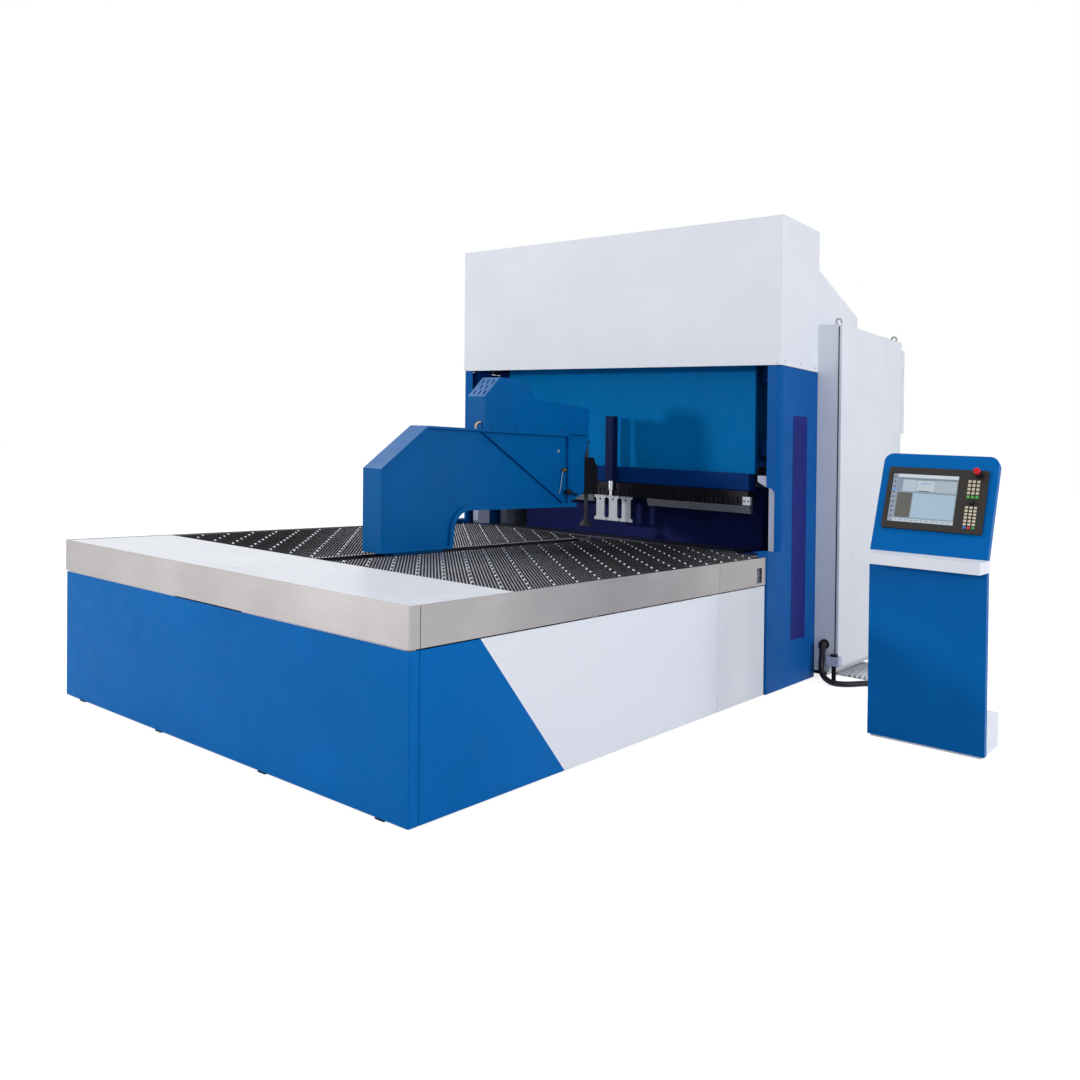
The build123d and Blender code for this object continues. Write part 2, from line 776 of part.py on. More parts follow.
with BuildPart() as clamp_ram:
    with BuildSketch(Plane.XY.offset(ram_bottom)):
        with Locations((0, clamp_axis)):
            Circle(ram_radius)
    extrude(amount=ram_top - ram_bottom)
    with BuildSketch(Plane.XY.offset(ram_top)):
        with Locations((0, clamp_axis)):
            Circle(ram_collar_radius)
    extrude(amount=ram_collar_height)
keep(clamp_ram, "clamp_ram")

with BuildPart() as clamp_pad:
    pad_top = ram_bottom
    with BuildSketch(Plane.YZ):
        with BuildLine():
            pad_edge = clamp_axis + pad_radius
            pad_neck = clamp_axis + pad_neck_radius
            Polyline((clamp_axis, pad_bottom), (pad_edge, pad_bottom), (pad_edge, pad_bottom + pad_rim),
                     (pad_neck, pad_top - pad_rim), (pad_neck, pad_top), (clamp_axis, pad_top), close=True)
        make_face()
    revolve(axis=Axis((0, clamp_axis, 0), (0, 0, 1)))
keep(clamp_pad, "clamp_pad")

with BuildPart() as lower_rotor:
    rotor_top = table_height - rotor_drop
    with BuildSketch(Plane.XY.offset(rotor_top - rotor_rim)):
        with Locations((0, clamp_axis)):
            Circle(rotor_radius)
    extrude(amount=rotor_rim)
    with BuildSketch(Plane.XY.offset(lower_arm_top + slide_gap)):
        with Locations((0, clamp_axis)):
            Circle(2 * spindle_radius)
    extrude(amount=rotor_top - rotor_rim - lower_arm_top - slide_gap)
    with BuildSketch(Plane.XY.offset(lower_arm_top - lower_arm_height)):
        with Locations((0, clamp_axis)):
            Circle(spindle_radius)
    extrude(amount=lower_arm_height + slide_gap)
keep(lower_rotor, "lower_rotor")

# Head base, a welded raft with windows, narrower between the side covers
with BuildPart() as machine_base:
    with BuildSketch(Plane.XY.offset(base_bottom)):
        with BuildLine():
            Polyline((-base_front_half, base_front), (base_front_half, base_front),
                     (base_front_half, head_rear), (base_rear_half, head_rear),
                     (base_rear_half, base_rear), (-base_rear_half, base_rear),
                     (-base_rear_half, head_rear), (-base_front_half, head_rear), close=True)
        make_face()
        # Windows lie between the rows of feet
        base_middle = base_foot_row_spacing * (base_foot_rows - 1) / 2
        base_window_spacing = 2 * base_front_half / base_window_columns
        with Locations((0, base_middle)):
            with GridLocations(base_window_spacing, base_foot_row_spacing, base_window_columns,
                               base_foot_rows - 1):
                Rectangle(base_window_spacing - base_rib, base_window_depth, mode=Mode.SUBTRACT)
    extrude(amount=base_height - base_bottom)
keep(machine_base, "machine_base")

# Uprights that carry the upper beam, plates with rounded windows
upright_top = head_height - cover_sheet
for label, side in sides:
    with BuildPart() as upright:
        slab((side * upright_inner, side * upright_outer), (upright_front, upright_rear),
             (base_height, upright_top))
        with BuildSketch(Plane.YZ.offset(side * upright_inner)):
            with Locations(((upright_front + upright_rear) / 2, (base_height + upright_top) / 2)):
                with GridLocations(0, upright_window_spacing, 1, 3):
                    RectangleRounded(upright_window_width, upright_window_height, upright_window_radius)
        extrude(amount=side * upright_thickness, mode=Mode.SUBTRACT)
    keep(upright, f"upright_{label}")

with BuildPart() as lower_beam:
    slab(about(0, 2 * upright_inner), (lower_beam_front, lower_beam_rear), (base_height, lower_beam_top))
    slab(about(0, 2 * upright_inner + overrun),
         (lower_beam_front + lower_beam_wall, lower_beam_rear - lower_beam_wall),
         (base_height + lower_beam_wall, lower_beam_top - lower_beam_wall), mode=Mode.SUBTRACT)
keep(lower_beam, "lower_beam")

with BuildPart() as counterblade:
    along_x([(lower_beam_front, lower_beam_top), (-counterblade_bevel, lower_beam_top), (0, table_height),
             (lower_beam_front + counterblade_thickness, table_height),
             (lower_beam_front, table_height - deck_drop)], beam_length)
keep(counterblade, "counterblade")

# Side covers: folded at a large front corner, stepped forward below the ledge,
# with the front flange cut back where a wide sheet swings past
for label, side in sides:
    with BuildPart() as side_cover:
        inner = head_half - side_return
        upper = [(inner, head_front), (head_half, head_front), (head_half, head_rear)]
        folded(mirrored(upper, side), side_ledge_height - cover_sheet,
               fascia_bottom - seam_gap - side_ledge_height + cover_sheet, side_corner_radius)
        lower_inner = table_half - corner_return
        lower = [(lower_inner, table_end), (head_half, table_end), (head_half, head_rear)]
        folded(mirrored(lower, side), floor_gap, side_ledge_height - floor_gap, fold_radius)
        slab((side * inner, side * (head_half - cover_sheet)),
             (table_end + cover_sheet, head_front + cover_sheet),
             (side_ledge_height - cover_sheet, side_ledge_height))
        notch_bottom = side_ledge_height
        with BuildSketch(Plane.XZ.offset(-head_front - cover_sheet - overrun)):
            with Locations((side * inner, (notch_bottom + notch_top - notch_radius) / 2)):
                Rectangle(2 * notch_depth, notch_top + notch_radius - notch_bottom)
            with Locations((side * inner, notch_top)):
                Rectangle(2 * (notch_depth - notch_radius), 2 * notch_radius)
            with Locations((side * (inner + notch_depth - notch_radius), notch_top)):
                Circle(notch_radius)
        extrude(amount=2 * overrun + cover_sheet, mode=Mode.SUBTRACT)
    keep(side_cover, f"side_cover_{label}")

with BuildPart() as light_strips:
    for label, side in sides:
        slab((side * head_half, side * (head_half + strip_thickness)),
             (strip_front, strip_front + strip_width), (strip_bottom, strip_top))
keep(light_strips, "light_strips")

# Top cover of the head, open below and behind, and the sloped hood behind it
with BuildPart() as upper_cover:
    slab((-head_half, head_half), (head_front, head_rear), (fascia_bottom, head_height))
    front_corners = upper_cover.edges().filter_by(Axis.Z).group_by(Axis.Y)[0]
    fillet(front_corners, radius=fold_radius)
    slab(about(0, head_width - 2 * cover_sheet), (head_front + cover_sheet, head_rear - cover_sheet),
         (fascia_bottom - overrun, head_height - cover_sheet), mode=Mode.SUBTRACT)
    slab(about(0, head_width - 2 * cover_sheet), about(head_rear, 2 * overrun),
         (fascia_bottom - overrun, top_rear_height - cover_sheet), mode=Mode.SUBTRACT)
keep(upper_cover, "upper_cover")

with BuildPart() as rear_hood:
    hood_rear = head_rear + hood_length
    with BuildSketch(Plane.YZ.offset(-head_half)) as hood_outline:
        with BuildLine():
            Polyline((head_rear, rear_height), (head_rear, top_rear_height), (hood_rear, hood_rear_height),
                     (hood_rear, rear_height), close=True)
        make_face()
    extrude(amount=head_width)
    with BuildSketch(Plane.YZ.offset(cover_sheet - head_half)):
        add(hood_outline.sketch_local)
        offset(amount=-cover_sheet, kind=Kind.INTERSECTION, mode=Mode.REPLACE)
    extrude(amount=head_width - 2 * cover_sheet, mode=Mode.SUBTRACT)
    hood_inside = about(0, head_width - 2 * cover_sheet)
    slab(hood_inside, (head_rear - overrun, hood_rear - cover_sheet), about(rear_height, 2 * overrun),
         mode=Mode.SUBTRACT)
    slab(hood_inside, about(head_rear, 2 * overrun), (rear_height - overrun, top_rear_height - overrun),
         mode=Mode.SUBTRACT)
keep(rear_hood, "rear_hood")

# Rear housing: folded sides with the step face, a roof and three louvred rear panels
with BuildPart() as rear_side_panels:
    for label, side in sides:
        walk = [(upright_outer, head_rear), (rear_half, head_rear), (rear_half, rear_end),
                (rear_half - hem, rear_end)]
        folded(mirrored(walk, side), rear_skirt, rear_height - cover_sheet - rear_skirt)
        walk[0] = (base_rear_half + seam_gap, head_rear)
        folded(mirrored(walk, side), skirt_bottom, rear_skirt - skirt_bottom)
keep(rear_side_panels, "rear_side_panels")

with BuildPart() as roof_panel:
    slab((-rear_half, rear_half), (head_rear, rear_end), (rear_height - cover_sheet, rear_height))
keep(roof_panel, "roof_panel")

with BuildPart() as rear_panel:
    rear_span = 2 * (rear_half - hem)
    rear_spacing = rear_span / rear_panel_count
    rear_bottom = base_height
    with BuildSketch(Plane.XZ.offset(-rear_end)):
        with Locations((0, (rear_bottom + rear_height - cover_sheet) / 2)):
            with GridLocations(rear_spacing, 0, rear_panel_count, 1):
                Rectangle(rear_spacing - seam_gap, rear_height - cover_sheet - rear_bottom)
        with Locations((0, louvre_height)):
            with GridLocations(rear_spacing, louvre_spacing, rear_panel_count, louvre_count):
                SlotOverall(louvre_length, louvre_width, mode=Mode.SUBTRACT)
    extrude(amount=cover_sheet)
keep(rear_panel, "rear_panel")

with BuildPart() as cabinet_cooler:
    slab((rear_half - cooler_width, rear_half), (rear_end, rear_end + cooler_depth),
         (cooler_bottom, cooler_top))
    cooler_middle = (cooler_bottom + cooler_top) / 2
    fillet(cabinet_cooler.edges().filter_by(Axis.Z).group_by(Axis.Y)[-1], radius=cooler_edge)
    with BuildSketch(Plane.YZ.offset(rear_half - cooler_slot_depth)):
        with Locations((rear_end + cooler_depth / 2, cooler_middle)):
            with GridLocations(0, cooler_slot_spacing, 1, 2):
                SlotOverall(cooler_slot_length, cooler_slot_width, rotation=90)
    extrude(amount=overrun, mode=Mode.SUBTRACT)
    with BuildSketch(Plane.XZ.offset(-rear_end - cooler_depth - overrun)):
        with Locations((rear_half - cooler_width / 2, cooler_middle)):
            with GridLocations(0, louvre_spacing, 1, louvre_count):
                SlotOverall(cooler_width / 2, louvre_width)
    extrude(amount=overrun + cooler_slot_depth, mode=Mode.SUBTRACT)
keep(cabinet_cooler, "cabinet_cooler")

with BuildPart() as lifting_eyes:
    eye_spots = [(side * (rear_half - eye_inset), y) for label, side in sides
                 for y in (head_rear + eye_inset, rear_end - eye_inset)]
    with BuildSketch(Plane.XY.offset(rear_height)):
        with Locations(*eye_spots):
            Circle(eye_collar_radius)
    extrude(amount=eye_collar_height)
    eye_middle = rear_height + eye_collar_height + eye_hole_radius
    for x, y in eye_spots:
        with BuildSketch(Plane((x, y - eye_thickness / 2, eye_middle), x_dir=(1, 0, 0), z_dir=(0, 1, 0))):
            Circle(eye_radius)
        extrude(amount=eye_thickness)
    for x, y in eye_spots:
        with BuildSketch(Plane((x, y - eye_thickness, eye_middle), x_dir=(1, 0, 0), z_dir=(0, 1, 0))):
            Circle(eye_hole_radius)
        extrude(amount=2 * eye_thickness, mode=Mode.SUBTRACT)
    slab((-rear_half, rear_half), (head_rear, rear_end), (rear_height - eye_radius, rear_height),
         mode=Mode.SUBTRACT)
keep(lifting_eyes, "lifting_eyes")

with BuildPart() as jack_blocks:
    for label, side in sides:
        slab((side * jack_inner, side * (jack_inner + jack_length)), (jack_y - jack_depth / 2, head_rear),
             (jack_bottom, jack_bottom + jack_height))
    with BuildSketch(Plane.XY.offset(jack_bottom - overrun)):
        with Locations(*jack_spots):
            Circle(jack_bolt_radius + seat_gap)
    extrude(amount=jack_height + 2 * overrun, mode=Mode.SUBTRACT)
keep(jack_blocks, "jack_blocks")

# Upper beam: a hollow box whose front skin hangs lower than its body
with BuildPart() as upper_beam:
    body_bottom = beam_bottom + beam_step
    skin_back = beam_front + beam_skin
    along_x([(beam_front, beam_bottom), (skin_back, beam_bottom), (skin_back, body_bottom),
             (beam_rear, body_bottom), (beam_rear, beam_top), (beam_front, beam_top)], beam_length)
    slab(about(0, beam_length + overrun), (skin_back, beam_rear - beam_wall),
         (body_bottom + beam_wall, beam_top - beam_wall), mode=Mode.SUBTRACT)
keep(upper_beam, "upper_beam")

with BuildPart() as tool_rail:
    slab(about(0, beam_length), (rail_front, beam_front), (rail_bottom, beam_bottom))
    front_edges = tool_rail.edges().filter_by(Axis.X).group_by(Axis.Y)[0]
    chamfer(front_edges.sort_by(Axis.Z)[0], length=rail_chamfer)
keep(tool_rail, "tool_rail")

# Tool row: slotted holder bars, with a bevelled steel toe on the two long sets
with BuildPart() as tool_segments:
    tool_front = tool_rear - tool_depth
    toe = [(tool_front + toe_depth, tool_bottom), (tool_rear - toe_depth, toe_bottom),
           (tool_rear, toe_bottom), (tool_rear, rail_bottom), (tool_front, rail_bottom),
           (tool_front, tool_bottom)]
    beam_half = beam_length / 2
    along_x(toe, beam_half - toe_start_right, (beam_half + toe_start_right) / 2)
    along_x(toe, beam_half - toe_start_left, -(beam_half + toe_start_left) / 2)
    slab((-toe_start_left, toe_start_right), (tool_front, tool_rear), (tool_bottom, rail_bottom))
    tooth_count = int(beam_length / tooth_spacing) - 1
    with BuildSketch(Plane.XZ.offset(-tool_front - toe_depth)):
        with Locations((0, tool_bottom + tooth_height / 2)):
            with GridLocations(tooth_spacing, 0, tooth_count, 1):
                Rectangle(tooth_gap, tooth_height)
    extrude(amount=toe_depth + overrun, mode=Mode.SUBTRACT)
keep(tool_segments, "tool_segments")

with BuildPart() as centre_tools:
    centre_tool_height = tool_bottom - centre_tool_bottom
    with BuildSketch(Plane.XZ.offset(-centre_tool_rear)):
        with Locations((0, centre_tool_bottom + centre_tool_height / 2)):
            with GridLocations(centre_tool_spacing, 0, centre_tool_count, 1):
                Rectangle(centre_tool_width, centre_tool_height)
            with GridLocations(centre_tool_spacing, 0, centre_tool_count + 1, 1):
                SlotOverall(centre_tool_height - 2 * centre_tool_foot, centre_tool_waist, rotation=90,
                            mode=Mode.SUBTRACT)
    extrude(amount=centre_tool_depth)
keep(centre_tools, "centre_tools")

# Guide rods that stand on the beam and run in the bored crown beam
rod_spots = [(side * rod_spread, rod_axis) for label, side in sides]
with BuildPart() as beam_rods:
    with BuildSketch(Plane.XY.offset(beam_top)):
        with Locations(*rod_spots):
            Circle(rod_radius)
    extrude(amount=rod_height)
keep(beam_rods, "beam_rods")

with BuildPart() as crown_beam:
    slab(about(0, 2 * upright_inner), (crown_front, crown_rear), (crown_bottom, crown_bottom + crown_height))
    with BuildSketch(Plane.XY.offset(crown_bottom)):
        with Locations(*rod_spots):
            Circle(rod_radius + shaft_gap)
    extrude(amount=crown_height, mode=Mode.SUBTRACT)
keep(crown_beam, "crown_beam")

# Tool lifter in front of the rail: a square cylinder and its rod
with BuildPart() as tool_cylinder:
    with BuildSketch(Plane.XY.offset(lift_bottom)):
        with Locations((0, lift_axis)):
            RectangleRounded(lift_size, 2 * (rail_front - lift_axis), lift_edge)
    extrude(amount=lift_top - lift_bottom)
    with BuildSketch(Plane.XY.offset(lift_bottom)):
        with Locations((0, lift_axis)):
            Circle(lift_rod_radius + shaft_gap)
    extrude(amount=2 * lift_rod_reach, mode=Mode.SUBTRACT)
keep(tool_cylinder, "tool_cylinder")

with BuildPart() as tool_rod:
    with BuildSketch(Plane.XY.offset(tool_bottom + lift_tip_height)):
        with Locations((0, lift_axis)):
            Circle(lift_rod_radius)
    extrude(amount=lift_bottom - tool_bottom - lift_tip_height + lift_rod_reach)
    with BuildSketch(Plane.XY.offset(tool_bottom)):
        with Locations((0, lift_axis)):
            Circle(lift_tip_radius)
    extrude(amount=lift_tip_height)
keep(tool_rod, "tool_rod")

# Guides on the uprights: slide blocks at the beam's ends and the pale gussets seen from the front
with BuildPart() as beam_guides:
    for label, side in sides:
        for bottom in (guide_low, guide_high):
            slab((side * (beam_length / 2 + slide_gap), side * upright_inner),
                 (guide_front, guide_front + guide_depth), (bottom, bottom + guide_height))
        with BuildSketch(Plane.XZ.offset(-upright_front - gusset_depth)):
            with BuildLine():
                gusset_top = gusset_bottom + gusset_size
                gusset_tip = side * (upright_inner - gusset_size)
                Polyline((side * upright_inner, gusset_bottom), (side * upright_inner, gusset_top),
                         (gusset_tip, gusset_top), (gusset_tip, gusset_bottom + gusset_size / 2), close=True)
            make_face()
        extrude(amount=gusset_depth)
keep(beam_guides, "beam_guides")

# Bending unit: a C-shaped carrier with two blades, raised on a saddle that feeds it forward
with BuildPart() as blade_carrier:
    carrier_front = blade_gap + blade_thickness
    along_x([(carrier_front, carrier_bottom), (carrier_front, carrier_mouth_bottom),
             (carrier_throat, carrier_mouth_bottom), (carrier_throat, carrier_mouth_top),
             (carrier_upper_front, carrier_mouth_top), (carrier_upper_front, carrier_top),
             (carrier_back, carrier_top), (carrier_back, carrier_bottom)], blade_length)
keep(blade_carrier, "blade_carrier")

with BuildPart() as bending_blades:
    along_x([(carrier_front, lower_blade_root), (carrier_front, carrier_mouth_bottom),
             (blade_gap, lower_blade_tip), (blade_gap, lower_blade_root)], blade_length)
    blade_front = carrier_upper_front - blade_thickness
    along_x([(carrier_upper_front, upper_blade_root), (carrier_upper_front, carrier_mouth_top),
             (blade_front, upper_blade_tip), (blade_front, upper_blade_root)], blade_length)
keep(bending_blades, "bending_blades")

with BuildPart() as blade_saddle:
    saddle_front = carrier_back + slide_gap
    slab((-saddle_length / 2, saddle_length / 2), (saddle_front, saddle_front + saddle_thickness),
         (base_height + slide_gap, saddle_top))
    with BuildSketch(Plane.XZ.offset(-saddle_front - saddle_thickness - overrun)):
        with Locations((0, (base_height + saddle_top) / 2)):
            with GridLocations(saddle_window_spacing, 0, 3, 1):
                Rectangle(saddle_window_width, saddle_window_height)
    extrude(amount=saddle_thickness + 2 * overrun, mode=Mode.SUBTRACT)
keep(blade_saddle, "blade_saddle")

# Console pedestal: one folded tray, upright below and tilted above, with rounded top corners
fold = Vector(0, console_front, console_fold_height)
rise = Vector(0, sin(tilt), cos(tilt))
facing = Vector(0, -cos(tilt), sin(tilt))


def console_profile(inset, depth, foot):
    # Side outline of the tray: its front face is set in by inset, its back is at depth.
    def fold_point(distance):
        return Vector(0, fold.Y + distance, fold.Z - distance * tan(tilt / 2))
    top_front = fold + rise * (console_head_length - inset) - facing * inset
    top_back = fold + rise * (console_head_length - inset) - facing * depth
    corners = [(console_front + inset, foot), (fold_point(inset).Y, fold_point(inset).Z),
               (top_front.Y, top_front.Z), (top_back.Y, top_back.Z),
               (fold_point(depth).Y, fold_point(depth).Z), (console_front + depth, foot)]
    return corners


def console_tray(inset, depth, foot, corner):
    width = console_width - 2 * inset
    with BuildPart(mode=Mode.PRIVATE) as tray:
        along_x(console_profile(inset, depth, foot), width, console_x)
        top_edges = tray.edges().filter_by(Axis((0, 0, 0), tuple(facing))).sort_by(Axis.Z)[-2:]
        fillet(top_edges, radius=corner)
    return tray.part


console_shell = console_tray(0, console_depth, floor_gap, console_corner)
console_hollow = console_tray(cover_sheet, console_depth + overrun, floor_gap - overrun,
                              console_corner - cover_sheet)
with BuildPart() as console_body:
    add(console_shell)
    add(console_hollow, mode=Mode.SUBTRACT)
keep(console_body, "console_body")

with BuildPart() as console_foot:
    foot_front = console_front + cover_sheet
    foot_rear = foot_front + console_foot_depth
    along_x([(foot_front, 0), (foot_rear, 0), (foot_rear, console_foot_rear_height),
             (foot_front + console_foot_top_depth, console_foot_height), (foot_front, console_foot_height)],
            console_foot_width, console_x)
    along_x([(foot_front + console_foot_wall, console_foot_wall),
             (foot_rear - console_foot_wall, console_foot_wall),
             (foot_rear - console_foot_wall, console_foot_rear_height - console_foot_wall),
             (foot_front + console_foot_top_depth, console_foot_height - console_foot_wall),
             (foot_front + console_foot_wall, console_foot_height - console_foot_wall)],
            console_foot_width - 2 * console_foot_wall, console_x, mode=Mode.SUBTRACT)
    with BuildSketch():
        with Locations((console_x, (foot_front + foot_rear) / 2)):
            with GridLocations(console_anchor_spacing, console_anchor_depth, 2, 2):
                Circle(console_anchor_radius)
    extrude(amount=console_foot_wall, mode=Mode.SUBTRACT)
keep(console_foot, "console_foot")

with BuildPart() as console_shelf:
    shelf_front = console_front - shelf_reach
    shelf_under = shelf_height - shelf_sheet
    lip_bottom = shelf_height - shelf_lip
    lip_back = shelf_front + shelf_sheet
    flange_front = console_front - shelf_sheet
    along_x([(console_front, lip_bottom), (console_front, shelf_height), (shelf_front, shelf_height),
             (shelf_front, lip_bottom), (lip_back, lip_bottom), (lip_back, shelf_under),
             (flange_front, shelf_under), (flange_front, lip_bottom)], shelf_width, console_x)
    for label, side in sides:
        cheek_x = console_x + side * (shelf_width - shelf_sheet) / 2
        slab(about(cheek_x, shelf_sheet), (shelf_front, console_front), (lip_bottom, shelf_height))
keep(console_shelf, "console_shelf")

# Operator panel on the tilted face
panel_middle = Vector(console_x, fold.Y, fold.Z) + rise * bezel_offset
panel_plane = Plane(panel_middle, x_dir=(1, 0, 0), z_dir=facing)
panel_face = panel_plane.offset(bezel_thickness)
with BuildPart() as console_bezel:
    with BuildSketch(panel_plane):
        RectangleRounded(bezel_width, bezel_height, bezel_corner)
    extrude(amount=bezel_thickness)
    with BuildSketch(panel_face):
        with Locations((screen_x, 0)):
            Rectangle(screen_width, screen_height)
    extrude(amount=-screen_recess, mode=Mode.SUBTRACT)
    with BuildSketch(panel_face):
        with Locations((keypad_x, knob_y)):
            Circle(knob_spindle_radius + shaft_gap)
        with Locations((estop_x, estop_y)):
            Circle(estop_neck_radius + shaft_gap)
    extrude(amount=-bezel_thickness, mode=Mode.SUBTRACT)
keep(console_bezel, "console_bezel")

with BuildPart() as console_screen:
    with BuildSketch(panel_face.offset(-screen_recess)):
        with Locations((screen_x, 0)):
            Rectangle(screen_width - 2 * slide_gap, screen_height - 2 * slide_gap)
    extrude(amount=screen_glass)
keep(console_screen, "console_screen")

with BuildPart() as console_keys:
    with BuildSketch(panel_face):
        with Locations((keypad_x, upper_keys_y)):
            with GridLocations(key_spacing, key_spacing, key_columns, upper_key_rows):
                Rectangle(key_size, key_size)
        with Locations((keypad_x, lower_keys_y)):
            with GridLocations(key_spacing, lower_key_spacing, key_columns, lower_key_rows):
                Rectangle(key_size, lower_key_height)
    extrude(amount=key_height)
keep(console_keys, "console_keys")

with BuildPart() as override_knob:
    with BuildSketch(panel_face.offset(slide_gap)):
        with Locations((keypad_x, knob_y)):
            Circle(knob_radius)
    extrude(amount=knob_height, taper=knob_draft)
    with BuildSketch(panel_face.offset(-bezel_thickness)):
        with Locations((keypad_x, knob_y)):
            Circle(knob_spindle_radius)
    extrude(amount=bezel_thickness + slide_gap)
keep(override_knob, "override_knob")

with BuildPart() as estop_collar:
    with BuildSketch(panel_face):
        with Locations((estop_x, estop_y)):
            Circle(estop_collar_radius)
            Circle(estop_neck_radius + shaft_gap, mode=Mode.SUBTRACT)
    extrude(amount=estop_collar_height)
keep(estop_collar, "estop_collar")

with BuildPart() as estop_button:
    estop_lift = estop_collar_height + estop_travel_gap
    with BuildSketch(panel_face.offset(estop_lift)):
        with Locations((estop_x, estop_y)):
            Circle(estop_radius)
    extrude(amount=estop_head)
    fillet(estop_button.edges().group_by(Axis(panel_middle, tuple(facing)))[-1], radius=estop_head / 2)
    with BuildSketch(panel_face.offset(estop_lift)):
        with Locations((estop_x, estop_y)):
            Circle(estop_neck_radius)
    extrude(amount=-estop_lift - estop_stem)
keep(estop_button, "estop_button")

# Hose: straight runs joined by arcs as large as the runs allow
hose_points = [Vector(head_half + x, y, z) for x, y, z in hose_route]
hose_radii = []
for before, point, after in zip(hose_points, hose_points[1:], hose_points[2:]):
    turn = radians((point - before).get_angle(after - point))
    shorter = min((point - before).length, (after - point).length)
    hose_radii.append(hose_arc_share * shorter / tan(turn / 2))
print("hose radii", [round(radius) for radius in hose_radii])
with BuildPart() as control_hose:
    with BuildLine() as hose_path:
        FilletPolyline(*hose_points, radius=hose_radii)
    with BuildSketch(Plane(hose_points[0], z_dir=hose_points[1] - hose_points[0])):
        Circle(hose_radius)
    sweep(path=hose_path.wires()[0])
hose_length = hose_path.wires()[0].length
hose_section = pi * hose_radius ** 2
print("hose length", hose_length, "volume ratio", control_hose.part.volume / (hose_section * hose_length))
keep(control_hose, "control_hose")

# Glands: an elbow on the step face that points down, and a straight one on the console's foot
with BuildPart() as hose_glands:
    start = hose_points[0]
    elbow_z = start.Z + elbow_drop
    with BuildSketch(Plane(start, z_dir=hose_points[0] - hose_points[1])):
        Circle(gland_radius)
    extrude(amount=elbow_drop)
    with Locations((start.X, start.Y, elbow_z)):
        Sphere(gland_radius)
    with BuildSketch(Plane((start.X, head_rear, elbow_z), x_dir=(1, 0, 0), z_dir=(0, -1, 0))):
        Circle(gland_radius)
    extrude(amount=head_rear - start.Y)
    with BuildSketch(Plane((start.X, head_rear, elbow_z), x_dir=(1, 0, 0), z_dir=(0, -1, 0))):
        Circle(gland_radius + gland_flange)
    extrude(amount=gland_flange)
    end = hose_points[-1]
    end_plane = Plane(end, z_dir=hose_points[-1] - hose_points[-2])
    with BuildSketch(end_plane):
        Circle(gland_radius)
    extrude(amount=end.Y - foot_rear + overrun)
    slab((end.X - 2 * gland_radius, end.X + 2 * gland_radius), (foot_rear - 2 * overrun, foot_rear),
         (0, end.Z + 2 * gland_radius), mode=Mode.SUBTRACT)
keep(hose_glands, "hose_glands")

with BuildPart() as cable_cover:
    slab(about(tread_x, tread_width), about(tread_y, tread_length), (0, tread_height))
    chamfer(cable_cover.faces().sort_by(Axis.Z)[-1].edges(), length=tread_edge)
keep(cable_cover, "cable_cover")
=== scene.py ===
import math
import bpy
import bmesh
from mathutils import Matrix, Vector


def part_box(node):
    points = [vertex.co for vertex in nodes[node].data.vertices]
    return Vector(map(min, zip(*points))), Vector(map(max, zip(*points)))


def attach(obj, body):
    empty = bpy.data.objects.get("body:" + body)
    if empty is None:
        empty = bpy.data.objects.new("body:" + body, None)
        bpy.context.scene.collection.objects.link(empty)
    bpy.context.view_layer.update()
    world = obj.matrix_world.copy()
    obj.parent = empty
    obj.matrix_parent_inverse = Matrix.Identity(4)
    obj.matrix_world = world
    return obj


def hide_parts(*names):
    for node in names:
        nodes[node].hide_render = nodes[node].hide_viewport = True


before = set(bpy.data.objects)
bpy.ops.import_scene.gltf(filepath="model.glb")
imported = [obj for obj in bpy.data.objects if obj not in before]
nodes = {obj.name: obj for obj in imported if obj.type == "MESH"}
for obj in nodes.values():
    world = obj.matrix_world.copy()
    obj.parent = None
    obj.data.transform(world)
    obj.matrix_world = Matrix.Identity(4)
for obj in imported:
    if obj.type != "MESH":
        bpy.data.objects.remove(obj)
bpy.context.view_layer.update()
scene = bpy.context.scene
scene.view_settings.view_transform = "Standard"
mm = 0.001
bothSides = ((1, "right"), (-1, "left"))
upward, toFront, toRear = (0, 0, 1), (0, -1, 0), (0, 1, 0)
toRight, toLeft = (1, 0, 0), (-1, 0, 0)
print("frame loaded:", len(nodes), "nodes")


# camera: a plain lens plus the small sideways lean that the picture's edges show
cameraSettings = {
    "place": (4.45, -6.592, 1.637),
    "azimuth": 38.67,
    "elevation": 0.67,
    "roll": 2.49,
    "lens": 32.66,
    "sensor": 36,
    "shift": (0.0005, -0.0758),
    "lean": 0.0334,
}


def makeCamera(settings):
    az, el, roll = [math.radians(settings[key]) for key in ("azimuth", "elevation", "roll")]
    back = Vector((math.sin(az) * math.cos(el), -math.cos(az) * math.cos(el), math.sin(el)))
    right = (-back).cross(Vector(upward)).normalized()
    up = right.cross(-back)
    across = math.cos(roll) * right + math.sin(roll) * up
    upright = -math.sin(roll) * right + math.cos(roll) * up
    leaning = upright + settings["lean"] * across
    cam = bpy.data.objects.new("camera", bpy.data.cameras.new("camera"))
    cam.data.lens = settings["lens"]
    cam.data.sensor_width = settings["sensor"]
    cam.data.shift_x, cam.data.shift_y = settings["shift"]
    stand = bpy.data.objects.new("cameraStand", None)
    for item in (cam, stand):
        scene.collection.objects.link(item)
    cam.parent = stand
    rows = [*zip(across, leaning, back, settings["place"])]
    cam.matrix_parent_inverse = Matrix([*rows, (0, 0, 0, 1)])
    scene.camera = cam


makeCamera(cameraSettings)
print("camera set")


# colours and nodes
def hexColour(code):
    parts = [int(code[i:i + 2], 16) / 255 for i in (1, 3, 5)]
    return (*[c / 12.92 if c < 0.04045 else ((c + 0.055) / 1.055) ** 2.4 for c in parts], 1.0)


